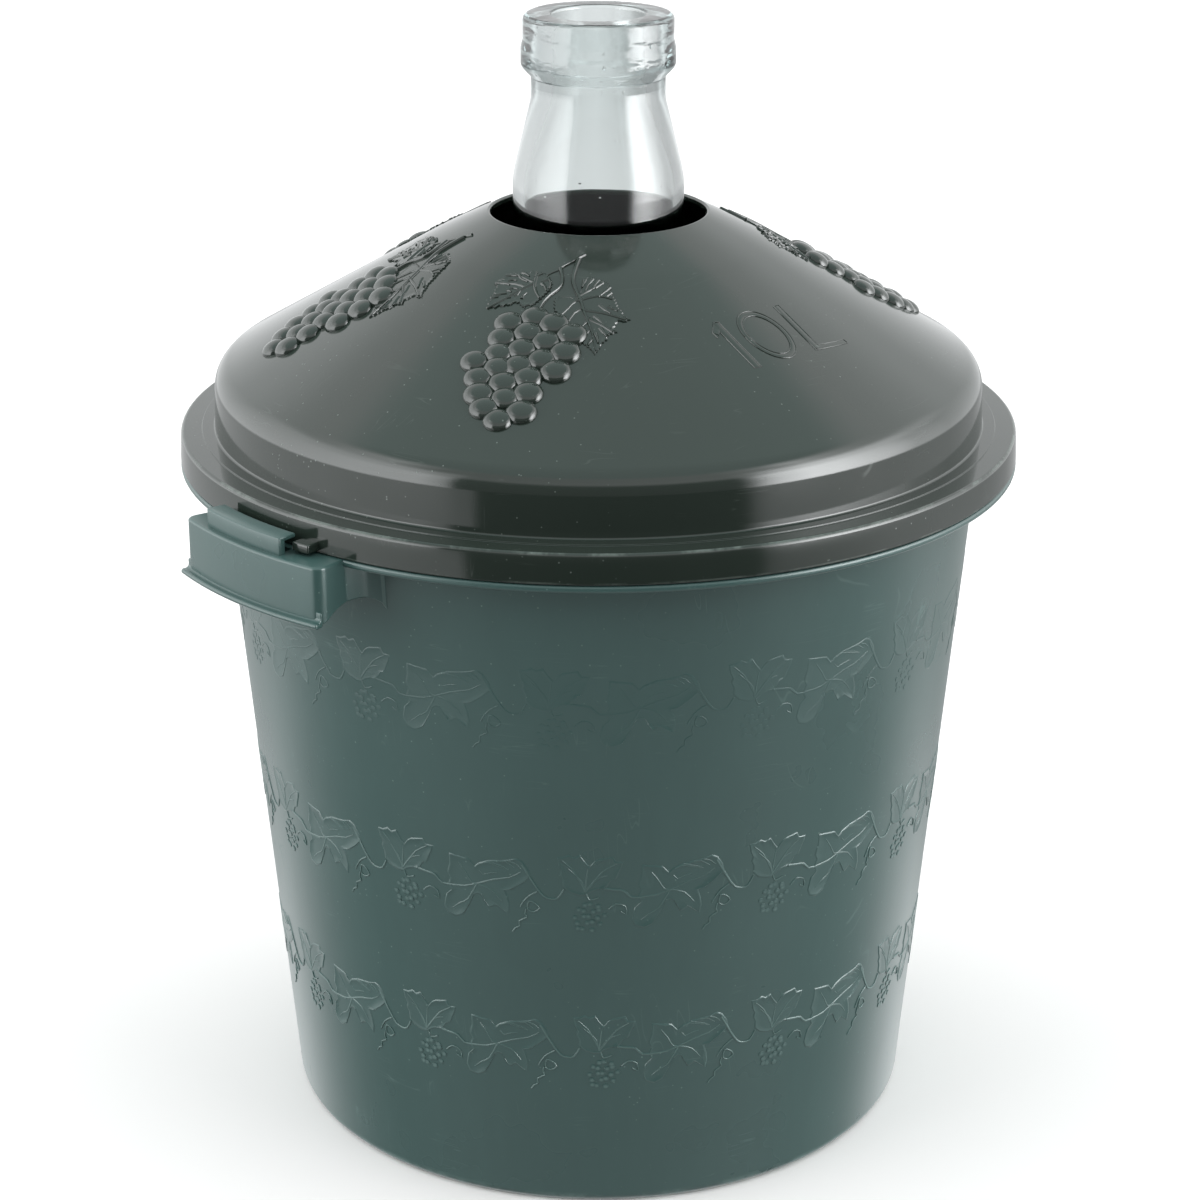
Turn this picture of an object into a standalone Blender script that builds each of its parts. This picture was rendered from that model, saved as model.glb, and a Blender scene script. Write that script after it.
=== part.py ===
"""A ten litre demijohn: a glass bottle in a moulded basket, under a moulded lid.

The basket is one moulding with two latch handles, on +X and -X. Each handle carries a hook strip on
its top plate. The lid is one moulding with five bunches of grapes in relief and two lugs on its
skirt. It drops on with the lugs on the bare ends of the top plates, and turns clockwise, seen from
above, until the lugs are under the hooks. Here it rests unturned, so it is free to lift.

The bottle stands on the basket's floor, and its neck comes up through the lid's opening.
The origin is on the axis, on the ground. Lengths are metres, +Z is up, and -Y is the front.
"""

import math

import bmesh
import bpy

# Basket: a tapered pail
BASKET_HEIGHT = 0.2441
BASKET_TOP_RADIUS = 0.1351
BASKET_FOOT_RADIUS = 0.1142
BASKET_WALL = 0.0026
FOOT_CORNER = 0.0050
FOOT_RING_WIDTH = 0.0075
FOOT_RECESS = 0.0035
FLOOR_THICKNESS = 0.0028
FLOOR_CORNER = 0.0040
FLANGE_REACH = 0.0134
FLANGE_THICKNESS = 0.0025
FLANGE_ROUND = 0.0010
UNDER_FLANGE_ROUND = 0.0020
BASKET_SIDES = 60

# Ribs under the basket's floor
RIB_COUNT = 8
RIB_WIDTH = 0.0020
RIB_INNER_RADIUS = 0.0220
RIB_GROUND_GAP = 0.0008

# Latch handles, one moulding with the basket
HANDLE_REACH = 0.0249
HANDLE_DEPTH = 0.0199
HANDLE_WALL = 0.0024
HANDLE_HALF_ANGLE = math.radians(12.5)
HANDLE_CORNER = 0.0030
WEB_ROOT_ANGLE = math.radians(15.4)
WEB_BEND = 0.0070
FACE_STEPS = 6
LIP_REACH = 0.0024
LIP_HEIGHT = 0.0050
LIP_BEAD = 0.0019

# The web's bend and flank: share of the way from face to wall, share of the half angle
WEB_PLAN_SHARES = ((0.76, 1.08), (0.45, 1.016))

# The web's lower edge: share of the way from face to wall, share of the handle's depth
WEB_EDGE_SHARES = (
    (0.0, 1.0), (0.2, 0.85), (0.45, 0.75), (0.75, 0.77), (0.92, 0.87), (0.97, 1.0), (1.0, 1.12),
)

# Hook strip on each handle, and the mould slot under it
HOOK_OUTER_INSET = 0.0021
HOOK_WIDTH = 0.0073
HOOK_WALL = 0.0026
HOOK_HEIGHT = 0.0060
HOOK_LIP = 0.0015
HOOK_CORNER = 0.0040
HOOK_STOP_ANGLE = math.radians(1.6)
HOOK_CLOSED_ANGLE = math.radians(-8.6)
HOOK_OPEN_ANGLE = math.radians(6.2)
SLOT_END_ANGLE = math.radians(0.7)
HOOK_STEPS = 4

# Lid
LID_WALL = 0.0022
SKIRT_HEIGHT = 0.0104
SKIRT_FLARE = 0.0010
SKIRT_ROUND = 0.0014
LEDGE_STEP = 0.0005
LEDGE_INNER_WIDTH = 0.0046
DOME_STEP = 0.0009
DOME_DRAFT = 0.0006
DOME_WALL_HEIGHT = 0.0201
DOME_HEIGHT = 0.0749
DOME_SHOULDER_ROUND = 0.0100
DOME_FOOT_ROUND = 0.0014
CROWN_BULGE = 0.0014
CROWN_ROUND = 0.0800
CROWN_SHARE = 0.79
LID_SIDES = 60

# Lugs on the lid's skirt
LUG_REACH = 0.0050
LUG_HEIGHT = 0.0030
LUG_PLATE_GAP = 0.0011
LUG_HOOK_GAP_ANGLE = math.radians(0.4)
LUG_ANGLE = math.radians(5.6)
LUG_STEPS = 2

# Bunches of grapes on the lid: places are shares of the pitch between grapes
BUNCH_AZIMUTHS = [math.radians(angle) for angle in (60.0, 120.0, 180.0, 240.0, 300.0)]
GRAPE_PITCH_ACROSS = 0.0073
GRAPE_PITCH_DOWN = 0.0074
GRAPE_RADIUS = 0.0035
GRAPE_RELIEF = 0.0022
BUNCH_DROP = 0.0430
GRAPE_SIDES = 6
COLUMN_SHARES = ((-2.0, 3.0, 2), (-1.0, 0.5, 6), (0.0, 0.0, 7), (1.0, 0.5, 6), (2.0, 1.0, 3))
GRAPE_FOOT_SHARE = 1.12
GRAPE_BROW_SHARE = 0.72
GRAPE_BROW_RISE_SHARE = 0.68

# Bottle
BOTTLE_BASKET_GAP = 0.0062
GLASS_WALL = 0.0036
GLASS_BASE = 0.0060
HEEL_ROUND = 0.0140
PUNT_HEIGHT = 0.0180
PUNT_ROUND = 0.0500
PUNT_FLAT_SHARE = 0.52
STAND_SHARE = 0.80
SHOULDER_ROUND = 0.0480
SHOULDER_DROP = 0.0215
ROOT_ROUND = 0.0220
NECK_RADIUS = 0.0299
NECK_WALL = 0.0042
NECK_RISE = 0.0680
BELL_DEPTH = 0.0560
BELL_ROUND = 0.0350
WAIST_RADIUS = 0.0232
WAIST_DEPTH = 0.0285
WAIST_ROUND = 0.0100
COLLAR_DEPTH = 0.0190
COLLAR_RADIUS = 0.0267
COLLAR_STEP_DEPTH = 0.0100
COLLAR_STEP = 0.0012
COLLAR_ROUND = 0.0028
MOUTH_ROUND = 0.0020
BORE_RADIUS = 0.0159
BORE_ROUND = 0.0014
BOTTLE_SIDES = 36

# Clearances and drawing
LID_NECK_GAP = 0.0078
FIT_GAP = 0.0003
OVERRUN = 0.0010
ARC_TURN = math.radians(50.0)
STRAIGHT_TURN = math.radians(1.0)
MERGE = 0.00001
SMOOTH_ANGLE = math.radians(35.0)

# Colours and roughness of the finishes
BASKET_GREEN = (0.070, 0.120, 0.108)
BASKET_ROUGHNESS = 0.36
LID_GREEN = (0.028, 0.040, 0.034)
LID_ROUGHNESS = 0.22
PALE_GLASS = (0.72, 0.84, 0.80)
GLASS_ROUGHNESS = 0.02
GLASS_INDEX = 1.5

# Heights and radii that the pieces share
SEAT = BASKET_HEIGHT + FIT_GAP
LEDGE = SEAT + SKIRT_HEIGHT
FLANGE_RADIUS = BASKET_TOP_RADIUS + FLANGE_REACH
FACE_RADIUS = BASKET_TOP_RADIUS + HANDLE_REACH
HOOK_OUTER_RADIUS = FACE_RADIUS - HOOK_OUTER_INSET
HOOK_INNER_RADIUS = HOOK_OUTER_RADIUS - HOOK_WIDTH
OPENING_RADIUS = NECK_RADIUS + LID_NECK_GAP
OPENING_HEIGHT = LEDGE + DOME_HEIGHT
DOME_RADIUS = BASKET_TOP_RADIUS + DOME_STEP
DOME_TOP_RADIUS = DOME_RADIUS - DOME_DRAFT
DOME_SLOPE = (DOME_HEIGHT - DOME_WALL_HEIGHT) / (DOME_TOP_RADIUS - OPENING_RADIUS)
MOUTH_HEIGHT = OPENING_HEIGHT + NECK_RISE
FLOOR_TOP = FOOT_RECESS + FLOOR_THICKNESS


def basket_radius(height):
    """Outside radius of the basket's tapered wall at a height."""
    return BASKET_FOOT_RADIUS + (BASKET_TOP_RADIUS - BASKET_FOOT_RADIUS) * height / BASKET_HEIGHT


def dome_height(radius):
    """Height of the lid's outer face on its cone, between the crown and the shoulder."""
    crown_radius = DOME_TOP_RADIUS + (OPENING_RADIUS - DOME_TOP_RADIUS) * CROWN_SHARE
    crown_height = LEDGE + DOME_WALL_HEIGHT + (DOME_HEIGHT - DOME_WALL_HEIGHT) * CROWN_SHARE + CROWN_BULGE
    fall = (crown_height - LEDGE - DOME_WALL_HEIGHT) / (DOME_TOP_RADIUS - crown_radius)
    return crown_height - (radius - crown_radius) * fall


def rounded(corners):
    """Closed outline in which each (a, b, radius) corner becomes an arc, or stays sharp at radius 0."""
    outline = []
    for index, (a, b, radius) in enumerate(corners):
        before = corners[index - 1]
        after = corners[(index + 1) % len(corners)]
        run_in = math.hypot(a - before[0], b - before[1])
        run_out = math.hypot(after[0] - a, after[1] - b)
        heading_in = math.atan2(b - before[1], a - before[0])
        heading_out = math.atan2(after[1] - b, after[0] - a)
        turn = math.remainder(heading_out - heading_in, math.tau)
        if radius == 0 or abs(turn) < STRAIGHT_TURN:
            outline.append((a, b))
            continue
        tangent = min(radius * math.tan(abs(turn) / 2), run_in / 2, run_out / 2)
        radius = tangent / math.tan(abs(turn) / 2)
        side = math.copysign(1, turn)
        centre = (
            a - tangent * math.cos(heading_in) - side * radius * math.sin(heading_in),
            b - tangent * math.sin(heading_in) + side * radius * math.cos(heading_in),
        )
        steps = max(1, math.ceil(abs(turn) / ARC_TURN))
        for step in range(steps + 1):
            heading = heading_in + turn * step / steps
            outline.append((
                centre[0] + side * radius * math.sin(heading),
                centre[1] - side * radius * math.cos(heading),
            ))
    return outline


def finished(name, mesh_builder, material=None):
    """Object from a filled bmesh, with doubles merged and faces turned outwards."""
    bmesh.ops.remove_doubles(mesh_builder, verts=mesh_builder.verts, dist=MERGE)
    bmesh.ops.recalc_face_normals(mesh_builder, faces=mesh_builder.faces)
    mesh = bpy.data.meshes.new(name)
    mesh_builder.to_mesh(mesh)
    mesh_builder.free()
    if material:
        mesh.materials.append(material)
    piece = bpy.data.objects.new(name, mesh)
    bpy.context.scene.collection.objects.link(piece)
    return piece


def turned(name, outline, sides, material=None):
    """Solid of revolution about Z from an outline of (radius, height) points."""
    build = bmesh.new()
    ring = [build.verts.new((radius, 0, height)) for radius, height in outline]
    for here, there in zip(ring, ring[1:] + ring[:1]):
        if here.co.x > MERGE or there.co.x > MERGE:
            build.edges.new((here, there))
    bmesh.ops.spin(
        build, geom=build.verts[:] + build.edges[:], cent=(0, 0, 0), axis=(0, 0, 1),
        angle=math.tau, steps=sides, use_merge=False,
    )
    return finished(name, build, material)


def swept(name, outline, start, end, steps):
    """Solid made by carrying a closed (radius, height) outline round Z from one angle to another."""
    build = bmesh.new()
    sections = []
    for step in range(steps + 1):
        angle = start + (end - start) * step / steps
        sections.append([
            build.verts.new((radius * math.cos(angle), radius * math.sin(angle), height))
            for radius, height in outline
        ])
    count = len(outline)
    for near, far in zip(sections, sections[1:]):
        for index in range(count):
            after = (index + 1) % count
            build.faces.new((near[index], near[after], far[after], far[index]))
    build.faces.new(sections[0])
    build.faces.new(sections[-1])
    return finished(name, build)


def extruded(name, outline, bottom, top):
    """Flat plate with a closed (x, y) outline, between two heights."""
    build = bmesh.new()
    face = build.faces.new([build.verts.new((x, y, bottom)) for x, y in outline])
    grown = bmesh.ops.extrude_face_region(build, geom=[face])
    risen = [item for item in grown["geom"] if isinstance(item, bmesh.types.BMVert)]
    bmesh.ops.translate(build, verts=risen, vec=(0, 0, top - bottom))
    return finished(name, build)


def combine(target, tool, operation):
    """Join a tool to a piece, or cut it away, and throw the tool away."""
    modifier = target.modifiers.new(operation, "BOOLEAN")
    modifier.operation = operation
    modifier.solver = "EXACT"
    modifier.object = tool
    depsgraph = bpy.context.evaluated_depsgraph_get()
    result = bpy.data.meshes.new_from_object(target.evaluated_get(depsgraph))
    target.modifiers.clear()
    target.data = result
    bpy.data.objects.remove(tool)


def placed(piece, angle):
    """Turn a piece about Z through its mesh, so that its object stays unturned."""
    for vertex in piece.data.vertices:
        x, y, height = vertex.co
        vertex.co = (
            x * math.cos(angle) - y * math.sin(angle),
            x * math.sin(angle) + y * math.cos(angle),
            height,
        )
    return piece


def polar(radius, angle):
    """Point of the plan at a radius and an angle from +X."""
    return radius * math.cos(angle), radius * math.sin(angle)


def arc(radius, start, end, steps):
    """Points of the plan along an arc, both ends included."""
    return [polar(radius, start + (end - start) * step / steps) for step in range(steps + 1)]


def share_between(table, place):
    """Value of a table of (place, value) shares at a place, on straight lines between its rows."""
    for (low, low_value), (high, high_value) in zip(table, table[1:]):
        if place <= high:
            return low_value + (high_value - low_value) * max(0, place - low) / (high - low)
    return table[-1][1]


def plastic(name, colour, roughness):
    """Opaque moulded plastic."""
    material = bpy.data.materials.new(name)
    material.use_nodes = True
    shader = material.node_tree.nodes["Principled BSDF"]
    shader.inputs["Base Color"].default_value = (*colour, 1)
    shader.inputs["Roughness"].default_value = roughness
    shader.inputs["Metallic"].default_value = 0
    return material


def glass(name, colour, roughness):
    """Clear glass with a tint."""
    material = plastic(name, colour, roughness)
    shader = material.node_tree.nodes["Principled BSDF"]
    shader.inputs["Transmission Weight"].default_value = 1
    shader.inputs["IOR"].default_value = GLASS_INDEX
    return material


def handle_sections():
    """Plan of a handle's wall, from web root to web root, as (share of the way to the wall, angle)."""
    face = FACE_RADIUS - HANDLE_WALL / 2
    root = BASKET_TOP_RADIUS - BASKET_WALL / 2
    corners = [(*polar(root, WEB_ROOT_ANGLE), 0)]
    for reach_share, angle_share in WEB_PLAN_SHARES:
        radius = face + (root - face) * reach_share
        corners.append((*polar(radius, HANDLE_HALF_ANGLE * angle_share), WEB_BEND))
    corners.append((*polar(face, HANDLE_HALF_ANGLE), HANDLE_CORNER))
    flat = HANDLE_HALF_ANGLE * (FACE_STEPS - 1) / FACE_STEPS
    front = [(x, y, 0) for x, y in arc(face, flat, -flat, FACE_STEPS)]
    other = [(x, -y, radius) for x, y, radius in reversed(corners)]
    plan = rounded(corners + front + other)
    return [((face - math.hypot(x, y)) / (face - root), math.atan2(y, x)) for x, y in plan]


def section_point(share, angle, height, offset):
    """Point of a handle's wall section at a height, moved across the wall by an offset (x, y)."""
    face = FACE_RADIUS - HANDLE_WALL / 2
    root = basket_radius(height) - BASKET_WALL / 2
    x, y = polar(face + (root - face) * share, angle)
    return x + offset[0], y + offset[1], height


def handle_shell():
    """A handle's top plate, face and webs, open below for the fingers."""
    sections = handle_sections()
    centres = [section_point(share, angle, BASKET_HEIGHT, (0, 0)) for share, angle in sections]
    top = BASKET_HEIGHT
    ceiling = top - FLANGE_THICKNESS
    build = bmesh.new()
    rails = []
    last = len(sections) - 1
    for index, (share, angle) in enumerate(sections):
        before = centres[max(index - 1, 0)]
        after = centres[min(index + 1, last)]
        run = math.hypot(after[0] - before[0], after[1] - before[1])
        half = HANDLE_WALL / 2 / run
        outward = ((before[1] - after[1]) * half, (after[0] - before[0]) * half)
        inward = (-outward[0], -outward[1])
        low = top - HANDLE_DEPTH * share_between(WEB_EDGE_SHARES, share)
        rails.append([
            build.verts.new(section_point(share, angle, top, outward)),
            build.verts.new(section_point(share, angle, low, outward)),
            build.verts.new(section_point(share, angle, low, inward)),
            build.verts.new(section_point(share, angle, ceiling, inward)),
        ])
    for near, far in zip(rails, rails[1:]):
        for edge in range(3):
            build.faces.new((near[edge], near[edge + 1], far[edge + 1], far[edge]))
    build.faces.new(rails[0])
    build.faces.new(rails[-1])
    back = arc(BASKET_TOP_RADIUS - BASKET_WALL / 2, -WEB_ROOT_ANGLE, WEB_ROOT_ANGLE, FACE_STEPS)[1:-1]
    back_top = [build.verts.new((x, y, top)) for x, y in back]
    back_low = [build.verts.new((x, y, ceiling)) for x, y in back]
    build.faces.new([rail[0] for rail in rails] + back_top)
    build.faces.new([rail[3] for rail in rails] + back_low)
    upper = [rails[-1][0]] + back_top + [rails[0][0]]
    lower = [rails[-1][3]] + back_low + [rails[0][3]]
    for index in range(len(upper) - 1):
        build.faces.new((upper[index], upper[index + 1], lower[index + 1], lower[index]))
    return finished("handle", build)


def handle_lip():
    """Beaded lip that flares from the foot of a handle's face."""
    low = BASKET_HEIGHT - HANDLE_DEPTH
    root = FACE_RADIUS - HANDLE_WALL / 2
    tip = FACE_RADIUS + LIP_REACH
    outline = rounded([
        (root, low + LIP_HEIGHT, 0),
        (FACE_RADIUS, low + LIP_HEIGHT, 0),
        (FACE_RADIUS, low + LIP_BEAD, LIP_REACH),
        (tip, low + LIP_BEAD, LIP_BEAD / 2),
        (tip, low, LIP_BEAD / 2),
        (root, low, 0),
    ])
    return swept("lip", outline, -HANDLE_HALF_ANGLE, HANDLE_HALF_ANGLE, FACE_STEPS)


def hook_strip():
    """Strip on a handle's top plate with a lip over the lug's way, closed at one end."""
    inner, outer = HOOK_INNER_RADIUS, HOOK_OUTER_RADIUS
    bottom = BASKET_HEIGHT - FLANGE_THICKNESS / 2
    top = BASKET_HEIGHT + HOOK_HEIGHT
    outside = arc(outer, HOOK_CLOSED_ANGLE, HOOK_OPEN_ANGLE, HOOK_STEPS)
    inside = arc(inner, HOOK_OPEN_ANGLE, HOOK_CLOSED_ANGLE, HOOK_STEPS)
    corners = [(x, y, 0) for x, y in outside + inside]
    corners[0] = (*corners[0][:2], HOOK_CORNER)
    strip = extruded("hook", rounded(corners), bottom, top)
    way = [
        (inner - OVERRUN, bottom - OVERRUN),
        (outer - HOOK_WALL, bottom - OVERRUN),
        (outer - HOOK_WALL, top - HOOK_LIP),
        (inner - OVERRUN, top - HOOK_LIP),
    ]
    start = HOOK_CLOSED_ANGLE + HOOK_STOP_ANGLE
    combine(strip, swept("way", way, start, HOOK_OPEN_ANGLE + HOOK_STOP_ANGLE, HOOK_STEPS), "DIFFERENCE")
    return strip


def hook_slot():
    """Cutter for the slot that the mould leaves in the top plate under the hook's lip."""
    outline = [
        (HOOK_INNER_RADIUS, BASKET_HEIGHT - FLANGE_THICKNESS - OVERRUN),
        (HOOK_OUTER_RADIUS - HOOK_WALL, BASKET_HEIGHT - FLANGE_THICKNESS - OVERRUN),
        (HOOK_OUTER_RADIUS - HOOK_WALL, BASKET_HEIGHT + OVERRUN),
        (HOOK_INNER_RADIUS, BASKET_HEIGHT + OVERRUN),
    ]
    start = HOOK_CLOSED_ANGLE + HOOK_STOP_ANGLE
    return swept("slot", outline, start, HOOK_OPEN_ANGLE - SLOT_END_ANGLE, HOOK_STEPS)


def floor_rib(angle):
    """Rib under the basket's floor, from near the middle to the foot ring."""
    outer = BASKET_FOOT_RADIUS - FOOT_RING_WIDTH + OVERRUN
    half = RIB_WIDTH / 2
    outline = [(RIB_INNER_RADIUS, -half), (outer, -half), (outer, half), (RIB_INNER_RADIUS, half)]
    return placed(extruded("rib", outline, RIB_GROUND_GAP, FOOT_RECESS + FLOOR_THICKNESS / 2), angle)


def make_basket(material):
    """Pail with a flange and a collar that stands up inside the lid, fused with its handles and ribs."""
    collar_top = LEDGE - LID_WALL - FIT_GAP
    under_flange = BASKET_HEIGHT - FLANGE_THICKNESS
    outside_foot = basket_radius(0)
    ring_inside = outside_foot - FOOT_RING_WIDTH
    outline = rounded([
        (0, FOOT_RECESS, 0),
        (ring_inside, FOOT_RECESS, 0),
        (ring_inside, 0, 0),
        (outside_foot, 0, FOOT_CORNER),
        (basket_radius(under_flange), under_flange, UNDER_FLANGE_ROUND),
        (FLANGE_RADIUS, under_flange, FLANGE_ROUND),
        (FLANGE_RADIUS, BASKET_HEIGHT, FLANGE_ROUND),
        (BASKET_TOP_RADIUS, BASKET_HEIGHT, 0),
        (BASKET_TOP_RADIUS, collar_top, FLANGE_ROUND),
        (BASKET_TOP_RADIUS - BASKET_WALL, collar_top, FLANGE_ROUND),
        (BASKET_TOP_RADIUS - BASKET_WALL, BASKET_HEIGHT, 0),
        (basket_radius(FLOOR_TOP) - BASKET_WALL, FLOOR_TOP, FLOOR_CORNER),
        (0, FLOOR_TOP, 0),
    ])
    basket = turned("basket", outline, BASKET_SIDES, material)
    for index in range(RIB_COUNT):
        combine(basket, floor_rib(math.tau * (index + 0.5) / RIB_COUNT), "UNION")
    for angle in (0, math.pi):
        combine(basket, placed(handle_shell(), angle), "UNION")
        combine(basket, placed(handle_lip(), angle), "UNION")
        combine(basket, placed(hook_slot(), angle), "DIFFERENCE")
        combine(basket, placed(hook_strip(), angle), "UNION")
    return basket


def grape_domes():
    """All the grapes of all the bunches, as separate closed domes sunk a little way into the lid."""
    build = bmesh.new()
    slope = math.atan(DOME_SLOPE)
    for azimuth in BUNCH_AZIMUTHS:
        for across_share, first_share, count in COLUMN_SHARES:
            for index in range(count):
                across = across_share * GRAPE_PITCH_ACROSS
                down = BUNCH_DROP + (first_share + index) * GRAPE_PITCH_DOWN
                radius = OPENING_RADIUS + down * math.cos(slope)
                angle = azimuth - math.pi / 2 + across / radius
                add_dome(build, radius, angle, slope)
    return finished("grapes", build)


def add_dome(build, radius, angle, slope):
    """One grape on the lid's cone: a foot sunk into the wall, a brow, and a round top."""
    out = (math.cos(angle), math.sin(angle))

    def point(across, down, rise):
        along = radius + down * math.cos(slope) + rise * math.sin(slope)
        up = dome_height(radius) - down * math.sin(slope) + rise * math.cos(slope)
        return out[0] * along - out[1] * across, out[1] * along + out[0] * across, up

    def ring(size, rise):
        places = arc(size, 0, math.tau, GRAPE_SIDES)[:-1]
        return [build.verts.new(point(across, down, rise)) for across, down in places]

    foot = ring(GRAPE_RADIUS * GRAPE_FOOT_SHARE, -LID_WALL / 2)
    brow = ring(GRAPE_RADIUS * GRAPE_BROW_SHARE, GRAPE_RELIEF * GRAPE_BROW_RISE_SHARE)
    top = build.verts.new(point(0, 0, GRAPE_RELIEF))
    build.faces.new(foot)
    for side in range(GRAPE_SIDES):
        after = (side + 1) % GRAPE_SIDES
        build.faces.new((foot[side], foot[after], brow[after], brow[side]))
        build.faces.new((brow[side], brow[after], top))


def skirt_lug(angle):
    """Lug that stands out from the lid's skirt over a handle's bare plate end."""
    bottom = BASKET_HEIGHT + LUG_PLATE_GAP
    outline = [
        (FLANGE_RADIUS - LID_WALL, bottom),
        (FLANGE_RADIUS + LUG_REACH, bottom),
        (FLANGE_RADIUS + LUG_REACH, bottom + LUG_HEIGHT),
        (FLANGE_RADIUS - LID_WALL, bottom + LUG_HEIGHT),
    ]
    start = angle + HOOK_OPEN_ANGLE + LUG_HOOK_GAP_ANGLE
    return swept("lug", outline, start, start + LUG_ANGLE, LUG_STEPS)


def make_lid(material):
    """Thin coned lid with a skirt, fused with its grapes and its two lugs."""
    ledge_radius = FLANGE_RADIUS - SKIRT_FLARE
    under_ledge = LEDGE - LID_WALL
    shoulder = LEDGE + DOME_WALL_HEIGHT
    crown_radius = DOME_TOP_RADIUS + (OPENING_RADIUS - DOME_TOP_RADIUS) * CROWN_SHARE
    crown_height = dome_height(crown_radius)
    thick = LID_WALL / math.cos(math.atan(DOME_SLOPE))
    outline = rounded([
        (OPENING_RADIUS, OPENING_HEIGHT - thick, 0),
        (OPENING_RADIUS, OPENING_HEIGHT, LID_WALL / 2),
        (crown_radius, crown_height, CROWN_ROUND),
        (DOME_TOP_RADIUS, shoulder, DOME_SHOULDER_ROUND),
        (DOME_RADIUS, LEDGE + LEDGE_STEP, DOME_FOOT_ROUND),
        (DOME_RADIUS + LEDGE_INNER_WIDTH, LEDGE + LEDGE_STEP, 0),
        (DOME_RADIUS + LEDGE_INNER_WIDTH, LEDGE, 0),
        (ledge_radius, LEDGE, SKIRT_ROUND),
        (FLANGE_RADIUS, SEAT, 0),
        (FLANGE_RADIUS - LID_WALL, SEAT, 0),
        (ledge_radius - LID_WALL, under_ledge, 0),
        (DOME_RADIUS - LID_WALL, under_ledge, 0),
        (DOME_TOP_RADIUS - LID_WALL, shoulder - LID_WALL / 2, DOME_SHOULDER_ROUND - LID_WALL),
        (crown_radius, crown_height - thick, CROWN_ROUND),
    ])
    lid = turned("lid", outline, LID_SIDES, material)
    combine(lid, grape_domes(), "UNION")
    for angle in (0, math.pi):
        combine(lid, skirt_lug(angle), "UNION")
    return lid


def make_bottle(material):
    """Blown bottle with a pushed-up base, a body that follows the basket, and a thick moulded collar."""
    stand = FLOOR_TOP + FIT_GAP
    slope = math.atan(DOME_SLOPE)

    def body_radius(height):
        return basket_radius(height) - BASKET_WALL - BOTTLE_BASKET_GAP

    root = OPENING_HEIGHT - SHOULDER_DROP
    shoulder = root - (body_radius(root) - NECK_RADIUS) * DOME_SLOPE
    heel = body_radius(stand)
    inner_heel = heel - GLASS_WALL
    inside_drop = GLASS_WALL / math.cos(slope)
    neck_inside = NECK_RADIUS - NECK_WALL
    mouth = MOUTH_HEIGHT
    waist = mouth - WAIST_DEPTH
    outline = rounded([
        (0, stand + PUNT_HEIGHT, 0),
        (heel * PUNT_FLAT_SHARE, stand + PUNT_HEIGHT, PUNT_ROUND),
        (heel * STAND_SHARE, stand, HEEL_ROUND),
        (heel, stand, HEEL_ROUND),
        (body_radius(shoulder), shoulder, SHOULDER_ROUND),
        (NECK_RADIUS, root, ROOT_ROUND),
        (NECK_RADIUS, mouth - BELL_DEPTH, BELL_ROUND),
        (WAIST_RADIUS, waist, WAIST_ROUND),
        (WAIST_RADIUS, mouth - COLLAR_DEPTH - COLLAR_ROUND, 0),
        (COLLAR_RADIUS, mouth - COLLAR_DEPTH, COLLAR_ROUND),
        (COLLAR_RADIUS, mouth - COLLAR_STEP_DEPTH, COLLAR_STEP),
        (COLLAR_RADIUS - COLLAR_STEP, mouth - COLLAR_STEP_DEPTH, 0),
        (COLLAR_RADIUS - COLLAR_STEP, mouth, MOUTH_ROUND),
        (BORE_RADIUS, mouth, BORE_ROUND),
        (BORE_RADIUS, waist, WAIST_ROUND),
        (neck_inside, mouth - BELL_DEPTH, BELL_ROUND),
        (neck_inside, root - inside_drop, ROOT_ROUND + GLASS_WALL),
        (body_radius(shoulder) - GLASS_WALL, shoulder - inside_drop / 2, SHOULDER_ROUND - GLASS_WALL),
        (inner_heel, stand + GLASS_BASE, HEEL_ROUND),
        (heel * STAND_SHARE, stand + GLASS_BASE, HEEL_ROUND),
        (heel * PUNT_FLAT_SHARE, stand + PUNT_HEIGHT + GLASS_BASE, PUNT_ROUND),
        (0, stand + PUNT_HEIGHT + GLASS_BASE, 0),
    ])
    return turned("bottle", outline, BOTTLE_SIDES, material)


def main():
    """Clear the scene and build the three pieces."""
    for leftover in list(bpy.data.objects):
        bpy.data.objects.remove(leftover)
    basket_green = plastic("basket_green", BASKET_GREEN, BASKET_ROUGHNESS)
    lid_green = plastic("lid_green", LID_GREEN, LID_ROUGHNESS)
    pale_glass = glass("pale_glass", PALE_GLASS, GLASS_ROUGHNESS)
    pieces = [make_basket(basket_green), make_bottle(pale_glass), make_lid(lid_green)]
    for piece in pieces:
        piece.data.shade_smooth()
        piece.data.set_sharp_from_angle(angle=SMOOTH_ANGLE)


main()
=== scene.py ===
"""Looks of a ten litre demijohn: a glass bottle in a moulded basket, under a moulded lid.

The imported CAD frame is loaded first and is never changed. Each of its three solids is replaced by a
finer piece that stands in the same place: the basket with its latch handles and vine garlands, the
blown bottle, and the coned lid with its bunches of grapes. Lengths are metres, +Z is up, and angles
about Z count from +X. Tables of reliefs are in millimetres, because they are drawn at that size.
"""

import functools
import logging
import math
from collections.abc import Callable, Iterable
from dataclasses import dataclass, field, replace
from enum import Enum

import bmesh
import bpy
from mathutils import Matrix, Vector


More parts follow.
